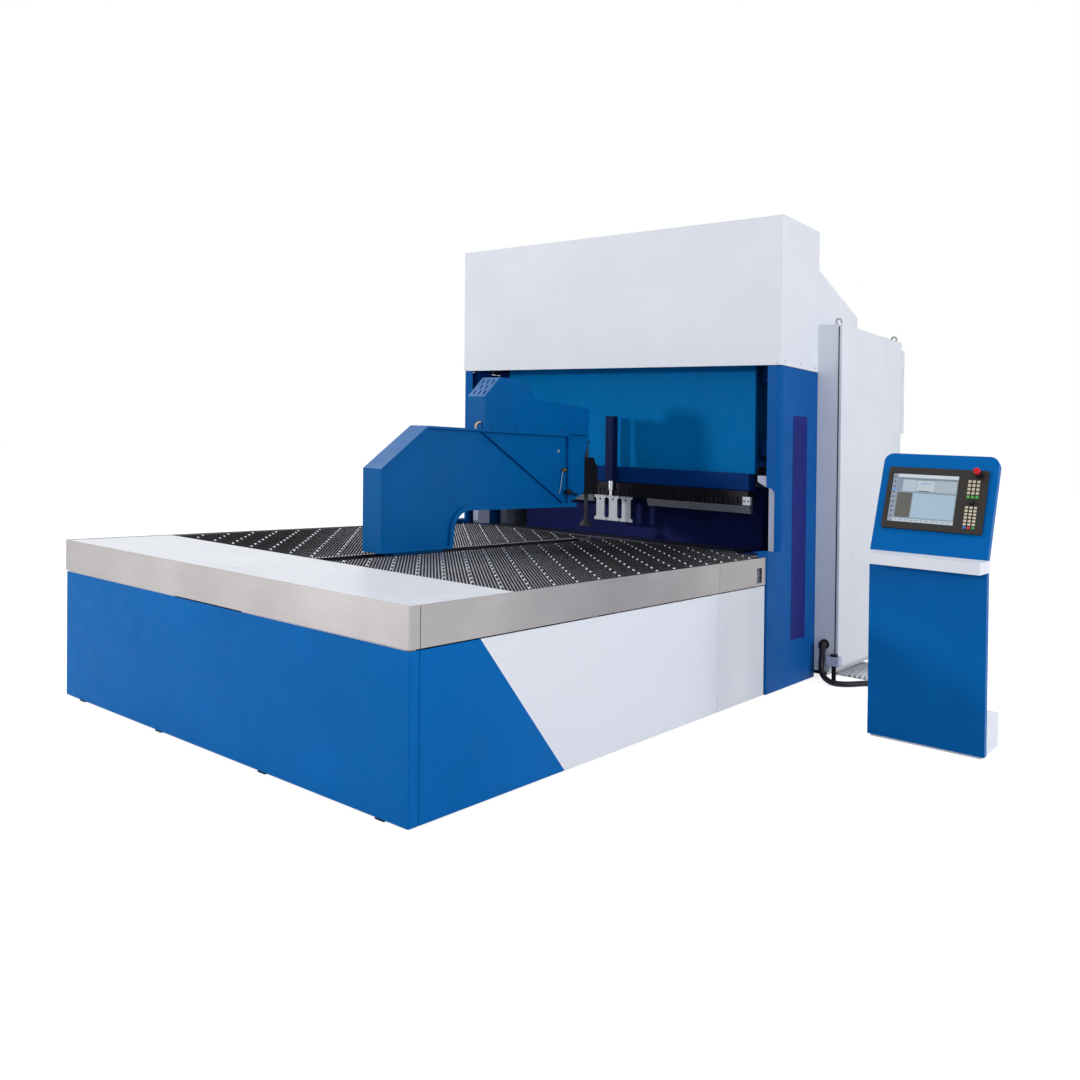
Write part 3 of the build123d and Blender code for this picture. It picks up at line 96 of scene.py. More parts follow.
def addNode(tree, kind, inputs=None, **settings):
    node = tree.nodes.new(kind)
    for key, value in settings.items():
        setattr(node, key, value)
    for key, value in (inputs or {}).items():
        if isinstance(value, bpy.types.NodeSocket):
            tree.links.new(value, node.inputs[key])
        else:
            node.inputs[key].default_value = value
    return node


def newMaterial(name, **sockets):
    mat = bpy.data.materials.new(name)
    mat.use_nodes = True
    shader = mat.node_tree.nodes["Principled BSDF"]
    for key, value in sockets.items():
        shader.inputs[key.replace("_", " ")].default_value = value
    return mat, mat.node_tree, shader


def objectCoords(tree):
    return addNode(tree, "ShaderNodeTexCoord").outputs["Object"]


def noise(tree, coords, scale, detail, roughness=0.5):
    values = {"Vector": coords, "Scale": scale, "Detail": detail, "Roughness": roughness}
    return addNode(tree, "ShaderNodeTexNoise", values).outputs["Fac"]


def remap(tree, value, low, high, toLow, toHigh):
    values = {0: value, 1: low, 2: high, 3: toLow, 4: toHigh}
    return addNode(tree, "ShaderNodeMapRange", values).outputs[0]


def reckon(tree, operation, *values):
    return addNode(tree, "ShaderNodeMath", dict(enumerate(values)), operation=operation).outputs[0]


def mixColours(tree, share, first, second):
    values = {0: share, 6: first, 7: second}
    return addNode(tree, "ShaderNodeMix", values, data_type="RGBA").outputs[2]


# colour, roughness and a bump over softened edges
def finishSkin(tree, shader, colour, rough, height, strength, depth, soften):
    edge = addNode(tree, "ShaderNodeBevel", {"Radius": soften}, samples=4).outputs[0]
    values = {"Strength": strength, "Distance": depth, "Height": height, "Normal": edge}
    bump = addNode(tree, "ShaderNodeBump", values).outputs[0]
    for key, socket in (("Base Color", colour), ("Roughness", rough), ("Normal", bump)):
        tree.links.new(socket, shader.inputs[key])


# a second colour where the mask is 1
def overlay(mat, mask, code):
    tree = mat.node_tree
    base = tree.nodes["Principled BSDF"].inputs["Base Color"]
    both = mixColours(tree, mask, base.links[0].from_socket, hexColour(code))
    tree.links.new(both, base)
    return mat


# powder coat: cured on steel, a satin skin with faint orange peel and slow shifts of tone;
# the peel is 2 mm on the real sheet and drawn at 6 mm so that it shows
def powderCoat(name, colour, shade, rough=0.44, gloss=0.05, peel=0.05, soften=3 * mm):
    mat, tree, shader = newMaterial(name, IOR=1.5, Specular_IOR_Level=gloss)
    coords = objectCoords(tree)
    cloud = noise(tree, coords, scale=1.6, detail=4.0, roughness=0.6)
    grime = noise(tree, coords, scale=11.0, detail=6.0)
    skin = noise(tree, coords, scale=1 / (6 * mm), detail=1.0)
    tone = remap(tree, cloud, 0.35, 0.7, 0.0, 0.75)
    blend = mixColours(tree, tone, hexColour(colour), hexColour(shade))
    dull = remap(tree, grime, 0.3, 0.75, rough - 0.06, rough + 0.1)
    finishSkin(tree, shader, blend, dull, skin, strength=peel, depth=0.4 * mm, soften=soften)
    return mat


# two coats on one panel: the second lies behind a straight slanting edge
def splitCoat(name, front, rear, topY, topZ, run):
    mat = powderCoat(name, *front)
    tree = mat.node_tree
    axes = addNode(tree, "ShaderNodeSeparateXYZ", {0: objectCoords(tree)}).outputs
    drop = reckon(tree, "SUBTRACT", topZ, axes["Z"])
    slant = reckon(tree, "MULTIPLY_ADD", drop, run, topY)
    return overlay(mat, reckon(tree, "GREATER_THAN", axes["Y"], slant), rear)


evenGrain = (1.0, 1.0, 1.0)


# steel with a grain: brushed along stretch, the hairlines are 0.2 mm and drawn at 2 mm
def grainedSteel(name, colour, shade, rough, stretch, fine=2 * mm, metallic=1.0):
    mat, tree, shader = newMaterial(name, Metallic=metallic)
    coords = objectCoords(tree)
    values = {"Vector": coords, "Scale": [s / fine for s in stretch]}
    grain = addNode(tree, "ShaderNodeMapping", values).outputs[0]
    hair = noise(tree, grain, scale=1.0, detail=3.0, roughness=0.65)
    cloud = noise(tree, coords, scale=2.3, detail=3.0)
    level = remap(tree, reckon(tree, "MULTIPLY", hair, cloud), 0.12, 0.42, 0.0, 1.0)
    blend = mixColours(tree, level, hexColour(shade), hexColour(colour))
    dull = remap(tree, hair, 0.25, 0.75, rough - 0.07, rough + 0.09)
    finishSkin(tree, shader, blend, dull, hair, strength=0.08, depth=0.2 * mm, soften=2 * mm)
    return mat


# moulded plastic and rubber: a fine spark-eroded grain, drawn at 1.5 mm
def mouldedPlastic(name, colour, shade, rough, grain=1.5 * mm, depth=0.12):
    mat, tree, shader = newMaterial(name, IOR=1.49, Specular_IOR_Level=0.25)
    coords = objectCoords(tree)
    speck = noise(tree, coords, scale=1 / grain, detail=2.0)
    cloud = noise(tree, coords, scale=14.0, detail=3.0)
    blend = mixColours(tree, cloud, hexColour(colour), hexColour(shade))
    dull = remap(tree, cloud, 0.3, 0.7, rough - 0.05, rough + 0.07)
    finishSkin(tree, shader, blend, dull, speck, strength=depth, depth=0.15 * mm,
               soften=1.5 * mm)
    return mat


panelNormal = (0, -0.920505, 0.390731)  # the console's panel leans back by 23 degrees


# two-shot moulding: a black foot, and a bright ring above one height along the panel's normal
def bandedPlastic(name, low, high, foot, height):
    mat = mouldedPlastic(name, low, low, 0.4)
    tree = mat.node_tree
    values = {0: objectCoords(tree), 1: foot}
    away = addNode(tree, "ShaderNodeVectorMath", values, operation="SUBTRACT").outputs[0]
    values = {0: away, 1: panelNormal}
    rise = addNode(tree, "ShaderNodeVectorMath", values, operation="DOT_PRODUCT").outputs["Value"]
    return overlay(mat, reckon(tree, "GREATER_THAN", rise, height), high)


# colour carried by the piece itself, for the key caps and the picture on the display
def tintedPlastic(name, rough):
    mat, tree, shader = newMaterial(name, IOR=1.49, Roughness=rough)
    tint = addNode(tree, "ShaderNodeAttribute", attribute_name="tint").outputs["Color"]
    tree.links.new(tint, shader.inputs["Base Color"])
    return mat


# black-oxide holders whose ground toes are bare below one height
def segmentSteel(name, toeTop):
    mat = grainedSteel(name, "#2A282D", "#17161A", 0.42, (0.05, 1.0, 0.4))
    tree = mat.node_tree
    height = addNode(tree, "ShaderNodeSeparateXYZ", {0: objectCoords(tree)}).outputs["Z"]
    return overlay(mat, reckon(tree, "LESS_THAN", height, toeTop), "#9A9DA7")


# aluminium tread plate: raised bars that cross, in rows 30 mm apart; the bars' near-white tops are
# a painted highlight
treadBars = {"turns": (45, -45), "length": 44 * mm, "row": 30 * mm, "gap": 9 * mm, "rise": 2 * mm}


def treadPlate(name, bars):
    mat = grainedSteel(name, "#C9CEDA", "#7F879B", 0.45, evenGrain, fine=22 * mm, metallic=0.1)
    tree = mat.node_tree
    coords = objectCoords(tree)
    heights = []
    for turn in bars["turns"]:
        values = {"Vector": coords, "Rotation": (0, 0, math.radians(turn))}
        slanted = addNode(tree, "ShaderNodeMapping", values).outputs[0]
        values = {"Vector": slanted, "Scale": 1.0, "Mortar Size": bars["gap"],
                  "Brick Width": bars["length"], "Row Height": bars["row"]}
        heights.append(addNode(tree, "ShaderNodeTexBrick", values, offset=0.5).outputs["Fac"])
    both = reckon(tree, "MULTIPLY", *heights)
    values = {"Strength": 0.7, "Distance": bars["rise"], "Height": both}
    bump = addNode(tree, "ShaderNodeBump", values).outputs[0]
    tree.links.new(bump, tree.nodes["Principled BSDF"].inputs["Normal"])
    return overlay(mat, both, "#F6F8FB")


# painted sheet and castings; a run of 1000 makes the edge of the uprights' two coats level, and
# their upper coat is a dark blue that is painted shade inside the head
bluePair = ("#0062AC", "#005A9F")
whitePair = ("#DCE0E8", "#D3D7E1")
greyPair = ("#B8BED2", "#A9AFC6")
blueCoat = powderCoat("powderCoatBlue", *bluePair)
# the head's side covers: a darker copy of the machine blue, painted shade
coverShadeCoat = powderCoat("powderCoatCoverBlueWithPaintedShade", "#08559C", "#074E91")
# the arm and the motor cover: a darker copy of the machine blue, painted shade for their side faces
armShadeCoat = powderCoat("powderCoatArmBlueWithPaintedShade", "#00599A", "#00518D", rough=0.34, gloss=0.1)
wallCoat = powderCoat("powderCoatWallBlue", "#0070B4", "#0067A6", rough=0.46, gloss=0.02)
# the rail's blue is darkened towards navy: painted shade for the shadow that the arm throws on it
railShadeCoat = powderCoat("powderCoatRailBlueWithPaintedShade", "#032F6E", "#02285E", gloss=0.03)
# the console: a slightly darker copy of the machine blue, painted shade for its lower panel
consoleShadeCoat = powderCoat("powderCoatConsoleBlueWithPaintedShade", "#0160A8", "#01589C", rough=0.4)
navyCoat = powderCoat("powderCoatNavy", "#1B2460", "#141A48", rough=0.42)
cylinderCoat = powderCoat("powderCoatIndigo", "#0D1A44", "#0A1334", rough=0.42)
whiteCoat = powderCoat("powderCoatWhite", *whitePair, rough=0.4)
deckCoat = powderCoat("powderCoatDeckWhite", "#E2E4EA", "#D9DCE4", rough=0.34)
blackCoat = powderCoat("powderCoatBlack", "#1B1B20", "#131317", rough=0.42)
greyCoat = powderCoat("powderCoatGrey", *greyPair, rough=0.42)
sideCoat = splitCoat("powderCoatBlueAndWhite", bluePair, whitePair[0],
                     topY=-3.312, topZ=0.765, run=0.8588)
# grey edges below the guides; above them a dark blue, painted shade
uprightCoatAndShade = splitCoat("powderCoatGreyAndShadedBlue", greyPair, "#0A3F86",
                        topY=0.0, topZ=1.54, run=1000.0)

# bare and plated metal
bandSteel = grainedSteel("brushedStainless", "#A7A4A4", "#969393", 0.48, (0.004, 0.004, 1.0))
groundSteel = grainedSteel("groundSteel", "#C6C8CD", "#9FA2A9", 0.28, (1.0, 1.0, 0.02))
toolSteel = grainedSteel("hardenedToolSteel", "#55565C", "#3B3C42", 0.34, (0.02, 1.0, 1.0))
darkSteel = grainedSteel("phosphatedSteel", "#3C3C43", "#2A2A30", 0.5, (1.0, 1.0, 0.1))
nickelSteel = grainedSteel("nickelPlatedSteel", "#B4B7BF", "#A0A3AC", 0.46, (1.0, 1.0, 0.1),
                           metallic=0.25)
plateZinc = grainedSteel("galvanisedPlate", "#CFCED3", "#ACABB3", 0.46, evenGrain, fine=14 * mm,
                         metallic=0.2)
segmentCoat = segmentSteel("blackOxideToolHolder", toeTop=1.2685)
treadSteel = treadPlate("aluminiumTreadPlate", treadBars)
brassMetal = grainedSteel("turnedBrass", "#C79A4B", "#A67C35", 0.3, evenGrain)

# plastics, glass and rubber; the lamp strip's acrylic is smooth, so it has no peel
bristleNylon = mouldedPlastic("nylonBristle", "#17161B", "#0B0B0E", 0.6, grain=1 * mm,
                              depth=0.3)
lampAcrylic = powderCoat("tintedAcrylic", "#1D2572", "#191F63", rough=0.36, gloss=0.04,
                         peel=0.0, soften=0.5 * mm)
bezelPlastic = mouldedPlastic("absBezel", "#2B2724", "#211E1C", 0.45)
glassPanel = mouldedPlastic("displayGlass", "#151B24", "#10151C", 0.08, grain=20 * mm,
                            depth=0.0)
blackPlastic = mouldedPlastic("glassFilledNylon", "#17171A", "#0E0E10", 0.5)
hosePlastic = mouldedPlastic("pvcHose", "#1A1A24", "#121219", 0.42, grain=3 * mm, depth=0.2)
collarPlastic = bandedPlastic("stopCollarPlastic", "#17171A", "#E3B81C",
                              foot=(2.903, -0.61586, 1.58502), height=0.036)
cablePlastic = mouldedPlastic("pvcCableSheath", "#D9B98C", "#C9A578", 0.45)
redPlastic = mouldedPlastic("redPolycarbonate", "#C3141B", "#AE0E15", 0.25)
keyPlastic = tintedPlastic("membraneKeys", 0.5)
displayPicture = tintedPlastic("displayPicture", 0.3)
print("materials made:", len(bpy.data.materials))

finishes = {
    blueCoat: ["front_panel"],
    coverShadeCoat: ["side_cover_right", "side_cover_left"],
    armShadeCoat: ["manipulator_frame", "motor_cover"],
    wallCoat: ["upper_beam"],
    railShadeCoat: ["tool_rail"],
    consoleShadeCoat: ["console_body"],
    navyCoat: ["lower_beam", "blade_carrier"],
    whiteCoat: ["upper_cover", "rear_hood", "rear_side_panels", "roof_panel", "rear_panel",
                "cabinet_cooler", "console_foot", "console_shelf"],
    deckCoat: ["front_decks"],
    sideCoat: ["side_panels"],
    blackCoat: ["machine_base", "guide_bed", "carriage", "levelling_feet", "clamp_bracket",
                "clamp_drive"],
    greyCoat: ["table_trestles", "crown_beam", "jack_blocks", "blade_saddle"],
    uprightCoatAndShade: ["upright_right", "upright_left", "beam_guides"],
    bandSteel: ["front_fascia", "side_fascias"],
    groundSteel: ["guide_rails", "travel_screw", "beam_rods", "tool_rod", "lifting_eyes"],
    toolSteel: ["counterblade", "bending_blades", "lower_rotor"],
    darkSteel: ["clamp_ram", "clamp_pad"],
    cylinderCoat: ["tool_cylinder"],
    segmentCoat: ["tool_segments"],
    nickelSteel: ["centre_tools"],
    treadSteel: ["cable_cover"],
    plateZinc: ["brush_bed_right", "brush_bed_left"],
    lampAcrylic: ["light_strips"],
    bezelPlastic: ["console_bezel"],
    glassPanel: ["console_screen"],
    keyPlastic: ["console_keys"],
    collarPlastic: ["estop_collar"],
    redPlastic: ["estop_button"],
    blackPlastic: ["override_knob", "hose_glands"],
    hosePlastic: ["control_hose"],
}
for finish, names in finishes.items():
    for name in names:
        nodes[name].data.materials.clear()
        nodes[name].data.materials.append(finish)
print("nodes dressed:", sum(len(names) for names in finishes.values()))


# small shared makers
def meshPiece(name, mesh, material, body, slot):
    piece = bpy.data.objects.new(name, mesh)
    scene.collection.objects.link(piece)
    if material:
        mesh.materials.clear()
        mesh.materials.append(material)
    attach(piece, body)
    return piece


def meshFrom(bm, name):
    mesh = bpy.data.meshes.new(name)
    bm.to_mesh(mesh)
    bm.free()
    return mesh


def turned(profile, sides):
    bm = bmesh.new()
    rings = []
    for radius, z in profile:
        turns = [2 * math.pi * k / sides for k in range(sides if radius else 1)]
        spots = [(radius * math.cos(turn), radius * math.sin(turn), z) for turn in turns]
        rings.append([bm.verts.new(spot) for spot in spots])
    for low, high in zip(rings, rings[1:]):
        for k in range(sides):
            corners = [low[k % len(low)], low[(k + 1) % len(low)],
                       high[(k + 1) % len(high)], high[k % len(high)]]
            bm.faces.new(list(dict.fromkeys(corners)))
    bmesh.ops.recalc_face_normals(bm, faces=bm.faces)
    return meshFrom(bm, "turned")


def softBox(size, edge, foot=(0, 0, 0)):
    bm = bmesh.new()
    bmesh.ops.create_cube(bm, size=1)
    bmesh.ops.scale(bm, vec=size, verts=bm.verts)
    bmesh.ops.translate(bm, vec=(0, 0, size[2] / 2), verts=bm.verts)
    bmesh.ops.bevel(bm, geom=bm.edges, offset=edge, segments=2, affect="EDGES", profile=0.6)
    mesh = meshFrom(bm, "softBox")
    mesh.transform(Matrix.Translation(foot))
    return mesh


# closed solids from flat outlines, pushed along one vector
def prisms(name, outlines, push):
    bm = bmesh.new()
    for outline in outlines:
        face = bm.faces.new([bm.verts.new(corner) for corner in outline])
        grown = bmesh.ops.extrude_face_region(bm, geom=[face])["geom"]
        moved = [item for item in grown if isinstance(item, bmesh.types.BMVert)]
        bmesh.ops.translate(bm, vec=push, verts=moved)
    bmesh.ops.recalc_face_normals(bm, faces=bm.faces)
    return meshFrom(bm, name)


def placed(mesh, place, facing):
    turn = Vector(upward).rotation_difference(Vector(facing)).to_matrix().to_4x4()
    mesh.transform(Matrix.Translation(place) @ turn)
    return mesh


def bakedMesh(holder):
    bpy.context.view_layer.update()
    view = bpy.context.evaluated_depsgraph_get()
    return bpy.data.meshes.new_from_object(holder.evaluated_get(view))


def roundCurve(name, points, radius, roundness):
    curve = bpy.data.curves.new(name, "CURVE")
    curve.dimensions = "3D"
    curve.bevel_depth = radius
    curve.bevel_resolution = roundness
    line = curve.splines.new("NURBS")
    line.points.add(len(points) - 1)
    for spot, place in zip(line.points, points):
        spot.co = (*place, 1)
    line.order_u = 3
    line.use_endpoint_u = True
    return curve


def bentTube(name, points, radius):
    curve = roundCurve(name, points, radius, roundness=2)
    curve.use_fill_caps = True
    holder = bpy.data.objects.new(name, curve)
    scene.collection.objects.link(holder)
    mesh = bakedMesh(holder)
    bpy.data.objects.remove(holder)
    return mesh


def rowOf(start, end, count):
    start, end = Vector(start), Vector(end)
    return [tuple(start.lerp(end, k / (count - 1))) for k in range(count)]


# one tree sets a head on every spot, turned to the spot's own direction
def scatterTree():
    tree = bpy.data.node_groups.new("setOnSpots", "GeometryNodeTree")
    kinds = {"Spots": "Geometry", "Head": "Object", "Head Size": "Float", "Lean": "Float",
             "Seed": "Int", "Finish": "Material"}
    for name, kind in kinds.items():
        tree.interface.new_socket(name, in_out="INPUT", socket_type="NodeSocket" + kind)
    tree.interface.new_socket("Result", in_out="OUTPUT", socket_type="NodeSocketGeometry")
    given = addNode(tree, "NodeGroupInput").outputs
    facing = addNode(tree, "GeometryNodeInputNamedAttribute", {"Name": "facing"},
                     data_type="FLOAT_VECTOR").outputs[0]
    swings = []
    for way in (-1, 1):
        values = {0: (way, way, way), "Scale": given["Lean"]}
        swings.append(addNode(tree, "ShaderNodeVectorMath", values, operation="SCALE").outputs[0])
    values = {0: swings[0], 1: swings[1], "Seed": given["Seed"]}
    sway = addNode(tree, "FunctionNodeRandomValue", values, data_type="FLOAT_VECTOR").outputs[0]
    aim = addNode(tree, "ShaderNodeVectorMath", {0: facing, 1: sway}, operation="ADD").outputs[0]
    turn = addNode(tree, "FunctionNodeAlignRotationToVector", {"Vector": aim}, axis="Z").outputs[0]
    head = addNode(tree, "GeometryNodeObjectInfo", {"Object": given["Head"]}).outputs["Geometry"]
    values = {"Points": given["Spots"], "Instance": head, "Rotation": turn,
              "Scale": given["Head Size"]}
    heads = addNode(tree, "GeometryNodeInstanceOnPoints", values).outputs[0]
    solid = addNode(tree, "GeometryNodeRealizeInstances", {0: heads}).outputs[0]
    values = {"Geometry": solid, "Material": given["Finish"]}
    dressed = addNode(tree, "GeometryNodeSetMaterial", values).outputs[0]
    addNode(tree, "NodeGroupOutput", {0: dressed})
    return tree


spotTree = scatterTree()


def setOnSpots(name, spots, head, material, body, slot, headSize=1.0, lean=0.0, seed=1, tints=None):
    mesh = bpy.data.meshes.new(name + "Spots")
    mesh.from_pydata([place for place, facing in spots], [], [])
    pointing = mesh.attributes.new("facing", "FLOAT_VECTOR", "POINT")
    pointing.data.foreach_set("vector", [c for place, facing in spots for c in facing])
    if tints:
        colour = mesh.attributes.new("tint", "FLOAT_COLOR", "POINT")
        colour.data.foreach_set("color", [c for code in tints for c in hexColour(code)])
    holder = bpy.data.objects.new(name + "Spots", mesh)
    sample = bpy.data.objects.new(name + "Head", head)
    for item in (holder, sample):
        scene.collection.objects.link(item)
    step = holder.modifiers.new("setOnSpots", "NODES")
    step.node_group = spotTree
    values = {"Head": sample, "Head Size": headSize, "Lean": lean, "Seed": seed, "Finish": material}
    for socket in spotTree.interface.items_tree:
        if socket.name in values:
            step[socket.identifier] = values[socket.name]
    result = bakedMesh(holder)
    result.name = name
    for item in (holder, sample):
        bpy.data.objects.remove(item)
    return meshPiece(name, result, None, body, slot)


# hose: the same route as the solid tube, in metres from the head's side
hoseFacts = {
    "diameter": 0.042,
    "length": 2.21,
    "headSide": 1.505,
    "route": [
        (0.080, 0.345, 0.240), (0.079, 0.341, 0.180), (0.081, 0.324, 0.122), (0.097, 0.294, 0.074),
        (0.135, 0.264, 0.040), (0.194, 0.248, 0.022), (0.254, 0.262, 0.022), (0.304, 0.312, 0.022),
        (0.346, 0.392, 0.022), (0.400, 0.476, 0.022), (0.478, 0.552, 0.022), (0.592, 0.602, 0.022),
        (0.750, 0.615, 0.022), (0.925, 0.550, 0.022), (1.075, 0.410, 0.022), (1.167, 0.220, 0.022),
        (1.195, 0.020, 0.022), (1.185, -0.160, 0.026), (1.171, -0.292, 0.050),
        (1.166, -0.400, 0.070),
    ],
}


def makeHose(facts):
    points = [(x + facts["headSide"], y, z) for x, y, z in facts["route"]]
    curve = roundCurve("controlHose", points, facts["diameter"] / 2, roundness=5)
    curve.splines[0].resolution_u = 8
    curve.materials.append(hosePlastic)
    hose = bpy.data.objects.new("controlHose", curve)
    scene.collection.objects.link(hose)
    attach(hose, "machine")
    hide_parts("control_hose")
    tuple(points[0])


makeHose(hoseFacts)
print("hose laid")


# brush fields: a plate with nylon tufts in a square grid and ball rollers between them;
# profiles are (radius, height) in shares of the size
brushField = {
    "spacing": 0.0245,
    "margin": 0.014,
    "throatGap": 0.004,
    "tuftWidth": 0.0108,
    "tuftHeight": 0.0096,
    "tuftRoom": 1.08,
    "tuftProfile": [(0.44, 0.0), (0.50, 0.85), (0, 1.04)],
    "lean": 0.05,
    "seed": 7,
    "rollerColumns": 4,
    "rollerRows": 8,
    "firstRoller": (2, 3),
    "ballRadius": 0.0125,
    "ballSink": 0.25,
    "ballAngles": (75, 60, 42, 24, 10),
    "cupRadius": 0.0165,
    "cupProfile": [(1.0, 0.0), (1.0, 0.1), (0.93, 0.16), (0.76, 0.16), (0.74, 0.02)],
}
tuftWidth, tuftHeight = brushField["tuftWidth"], brushField["tuftHeight"]
tuftHead = turned(brushField["tuftProfile"], sides=6)
tuftHead.transform(Matrix.Diagonal((tuftWidth, tuftWidth, tuftHeight, 1)))
ballTop = 1 - brushField["ballSink"]
ballTurns = [math.radians(angle) for angle in brushField["ballAngles"]]
ballProfile = [(math.sin(turn), math.cos(turn) - brushField["ballSink"]) for turn in ballTurns]
ballHead = turned([*ballProfile, (0, ballTop)], sides=12)
cupHead = turned(brushField["cupProfile"], sides=14)


def makeBrushField(side, label, settings):
    low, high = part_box("brush_bed_" + label)
    inner, outer = sorted((abs(low.x), abs(high.x)))
    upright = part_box("upright_" + label)
    throat = abs(upright[0 if side > 0 else 1].x) - settings["throatGap"]
    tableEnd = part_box("side_fascias")[1].y
    plateTop = high.z - settings["tuftRoom"] * tuftHeight
    outline = [(inner, low.y), (outer, low.y), (outer, tableEnd), (throat, tableEnd),
               (throat, high.y), (inner, high.y)]
    corners = [(side * x, y, low.z) for x, y in outline]
    mesh = prisms("brushPlate" + label, [corners], (0, 0, plateTop - low.z))
    plate = meshPiece("brushPlate_" + label, mesh, plateZinc, "machine", "brush_fibre")
    # black on the plate's side faces: painted shade along the slot and the rim
    mesh.materials.append(blackPlastic)  # dark edge along the slot and the rim
    for polygon in mesh.polygons:
        polygon.material_index = 0 if abs(polygon.normal.z) > 0.5 else 1
    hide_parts("brush_bed_" + label)
    pitch, margin = settings["spacing"], settings["margin"]
    everyColumn, everyRow = settings["rollerColumns"], settings["rollerRows"]
    firstColumn, firstRow = settings["firstRoller"]
    columns = int((outer - inner - 2 * margin) / pitch)
    rows = int((high.y - low.y - 2 * margin) / pitch)
    tufts, rollers = [], []
    for i in range(columns + 1):
        stagger = everyRow // 2 if (i // everyColumn) % 2 else 0
        for j in range(rows + 1):
            x = inner + margin + i * pitch
            y = low.y + margin + j * pitch
            if y > tableEnd - margin and x > throat - margin:
                continue
            isRoller = i % everyColumn == firstColumn and (j + stagger) % everyRow == firstRow
            (rollers if isRoller else tufts).append(((side * x, y, plateTop), upward))
    setOnSpots("brushTufts_" + label, tufts, tuftHead, bristleNylon, "machine", "brush_fibre",
               lean=settings["lean"], seed=settings["seed"])
    ballFoot = high.z - ballTop * settings["ballRadius"]
    balls = [((x, y, ballFoot), way) for (x, y, z), way in rollers]
    for name, spots, head, size in (("rollerBalls_", balls, ballHead, settings["ballRadius"]),
                                    ("rollerCups_", rollers, cupHead, settings["cupRadius"])):
        setOnSpots(name + label, spots, head, groundSteel, "machine", "ground_steel", size)
    print("brush field", label, len(tufts), "tufts", len(rollers), "rollers")


for side, label in bothSides:
    makeBrushField(side, label, brushField)


# screws, each group on the body it holds, at distances from the edges of the sheet
screwProfile = [(1.0, 0.0), (1.0, 0.62), (0.86, 0.8), (0.55, 0.8), (0.5, 0.35), (0, 0.3)]
domeProfile = [(1.0, 0.0), (0.95, 0.25), (0.7, 0.5), (0.35, 0.62), (0, 0.65)]
screwHead, domeHead = [turned(profile, sides=12) for profile in (screwProfile, domeProfile)]
railScrews = {"inset": 0.06, "fromFront": 0.03, "count": 30, "rodRoom": 0.05, "radius": 0.008}


def makeRailScrews(settings):
    low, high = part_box("tool_rail")
    y = low.y + settings["fromFront"]
    first = (low.x + settings["inset"], y, high.z)
    last = (high.x - settings["inset"], y, high.z)
    ledge = rowOf(first, last, settings["count"])
    spots = [(place, upward) for place in ledge if abs(place[0]) > settings["rodRoom"]]
    setOnSpots("railScrews", spots, screwHead, darkSteel, "upper_beam", "tool_steel",
               settings["radius"])


makeRailScrews(railScrews)

coverScrews = {"fromFront": 0.06, "fromRear": 0.1, "rise": 0.025, "count": 5, "radius": 0.007}


def makeCoverScrews(settings):
    low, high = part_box("motor_cover")
    z = low.z + settings["rise"]
    front, rear = low.y + settings["fromFront"], high.y - settings["fromRear"]
    spots = []
    for x, way in ((high.x, toRight), (low.x, toLeft)):
        spots += [(place, way) for place in rowOf((x, front, z), (x, rear, z), settings["count"])]
    setOnSpots("coverScrews", spots, domeHead, darkSteel, "manipulator", "blue_paint",
               settings["radius"])


makeCoverScrews(coverScrews)

# filter mat behind the louvres of the rear doors
rearLow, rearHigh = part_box("rear_panel")
doorCount = 3
doorWidth = (rearHigh.x - rearLow.x) / doorCount
filterMat = {"inset": 0.06, "thickness": 0.004, "height": 0.85, "foot": 0.2, "edge": 0.001}


def makeFilterMat(settings):
    thickness = settings["thickness"]
    size = (rearHigh.x - rearLow.x - 2 * settings["inset"], thickness, settings["height"])
    foot = ((rearLow.x + rearHigh.x) / 2, rearLow.y - thickness, settings["foot"])
    mesh = softBox(size, settings["edge"], foot)
    meshPiece("filterMat", mesh, blackPlastic, "machine", "black_paint")


makeFilterMat(filterMat)

# the top cover's and the rear doors' screws, none where the cooler hangs
panelScrews = {
    "frontInset": 0.03,
    "frontRise": 0.018,
    "sideInset": 0.05,
    "sideRise": 0.03,
    "sideCount": 3,
    "doorInset": 0.04,
    "doorEnds": 0.06,
    "doorHeights": (0.9, 1.75),
    "coolerLeft": 1.24,
    "coolerSpan": (1.85, 2.6),
    "radius": 0.009,
}


def makePanelScrews(settings):
    low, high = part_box("upper_cover")
    z, inset = low.z + settings["frontRise"], settings["frontInset"]
    spots = [((x, low.y, z), toFront) for x in (low.x + inset, high.x - inset)]
    z, inset = low.z + settings["sideRise"], settings["sideInset"]
    for x, way in ((high.x, toRight), (low.x, toLeft)):
        row = rowOf((x, low.y + inset, z), (x, high.y - inset, z), settings["sideCount"])
        spots += [(place, way) for place in row]
    ends, inset = settings["doorEnds"], settings["doorInset"]
    heights = (rearLow.z + ends, *settings["doorHeights"], rearHigh.z - ends)
    coolerFoot, coolerTop = settings["coolerSpan"]
    for k in range(doorCount):
        for dx in (inset, doorWidth - inset):
            x = rearLow.x + k * doorWidth + dx
            for z in heights:
                if x < settings["coolerLeft"] or not coolerFoot <= z <= coolerTop:
                    spots.append(((x, rearHigh.y, z), toRear))
    setOnSpots("panelScrews", spots, domeHead, groundSteel, "machine", "ground_steel",
               settings["radius"])


makePanelScrews(panelScrews)
print("screws set")


# steel squares at both ends of the tool row, on two screws each
endStop = {
    "size": (0.062, 0.03, 0.062),
    "edge": 0.003,
    "middle": (1.188, -0.087, 1.276),
    "screwSpread": 0.016,
    "screwRise": 0.031,
    "screwRadius": 0.006,
}


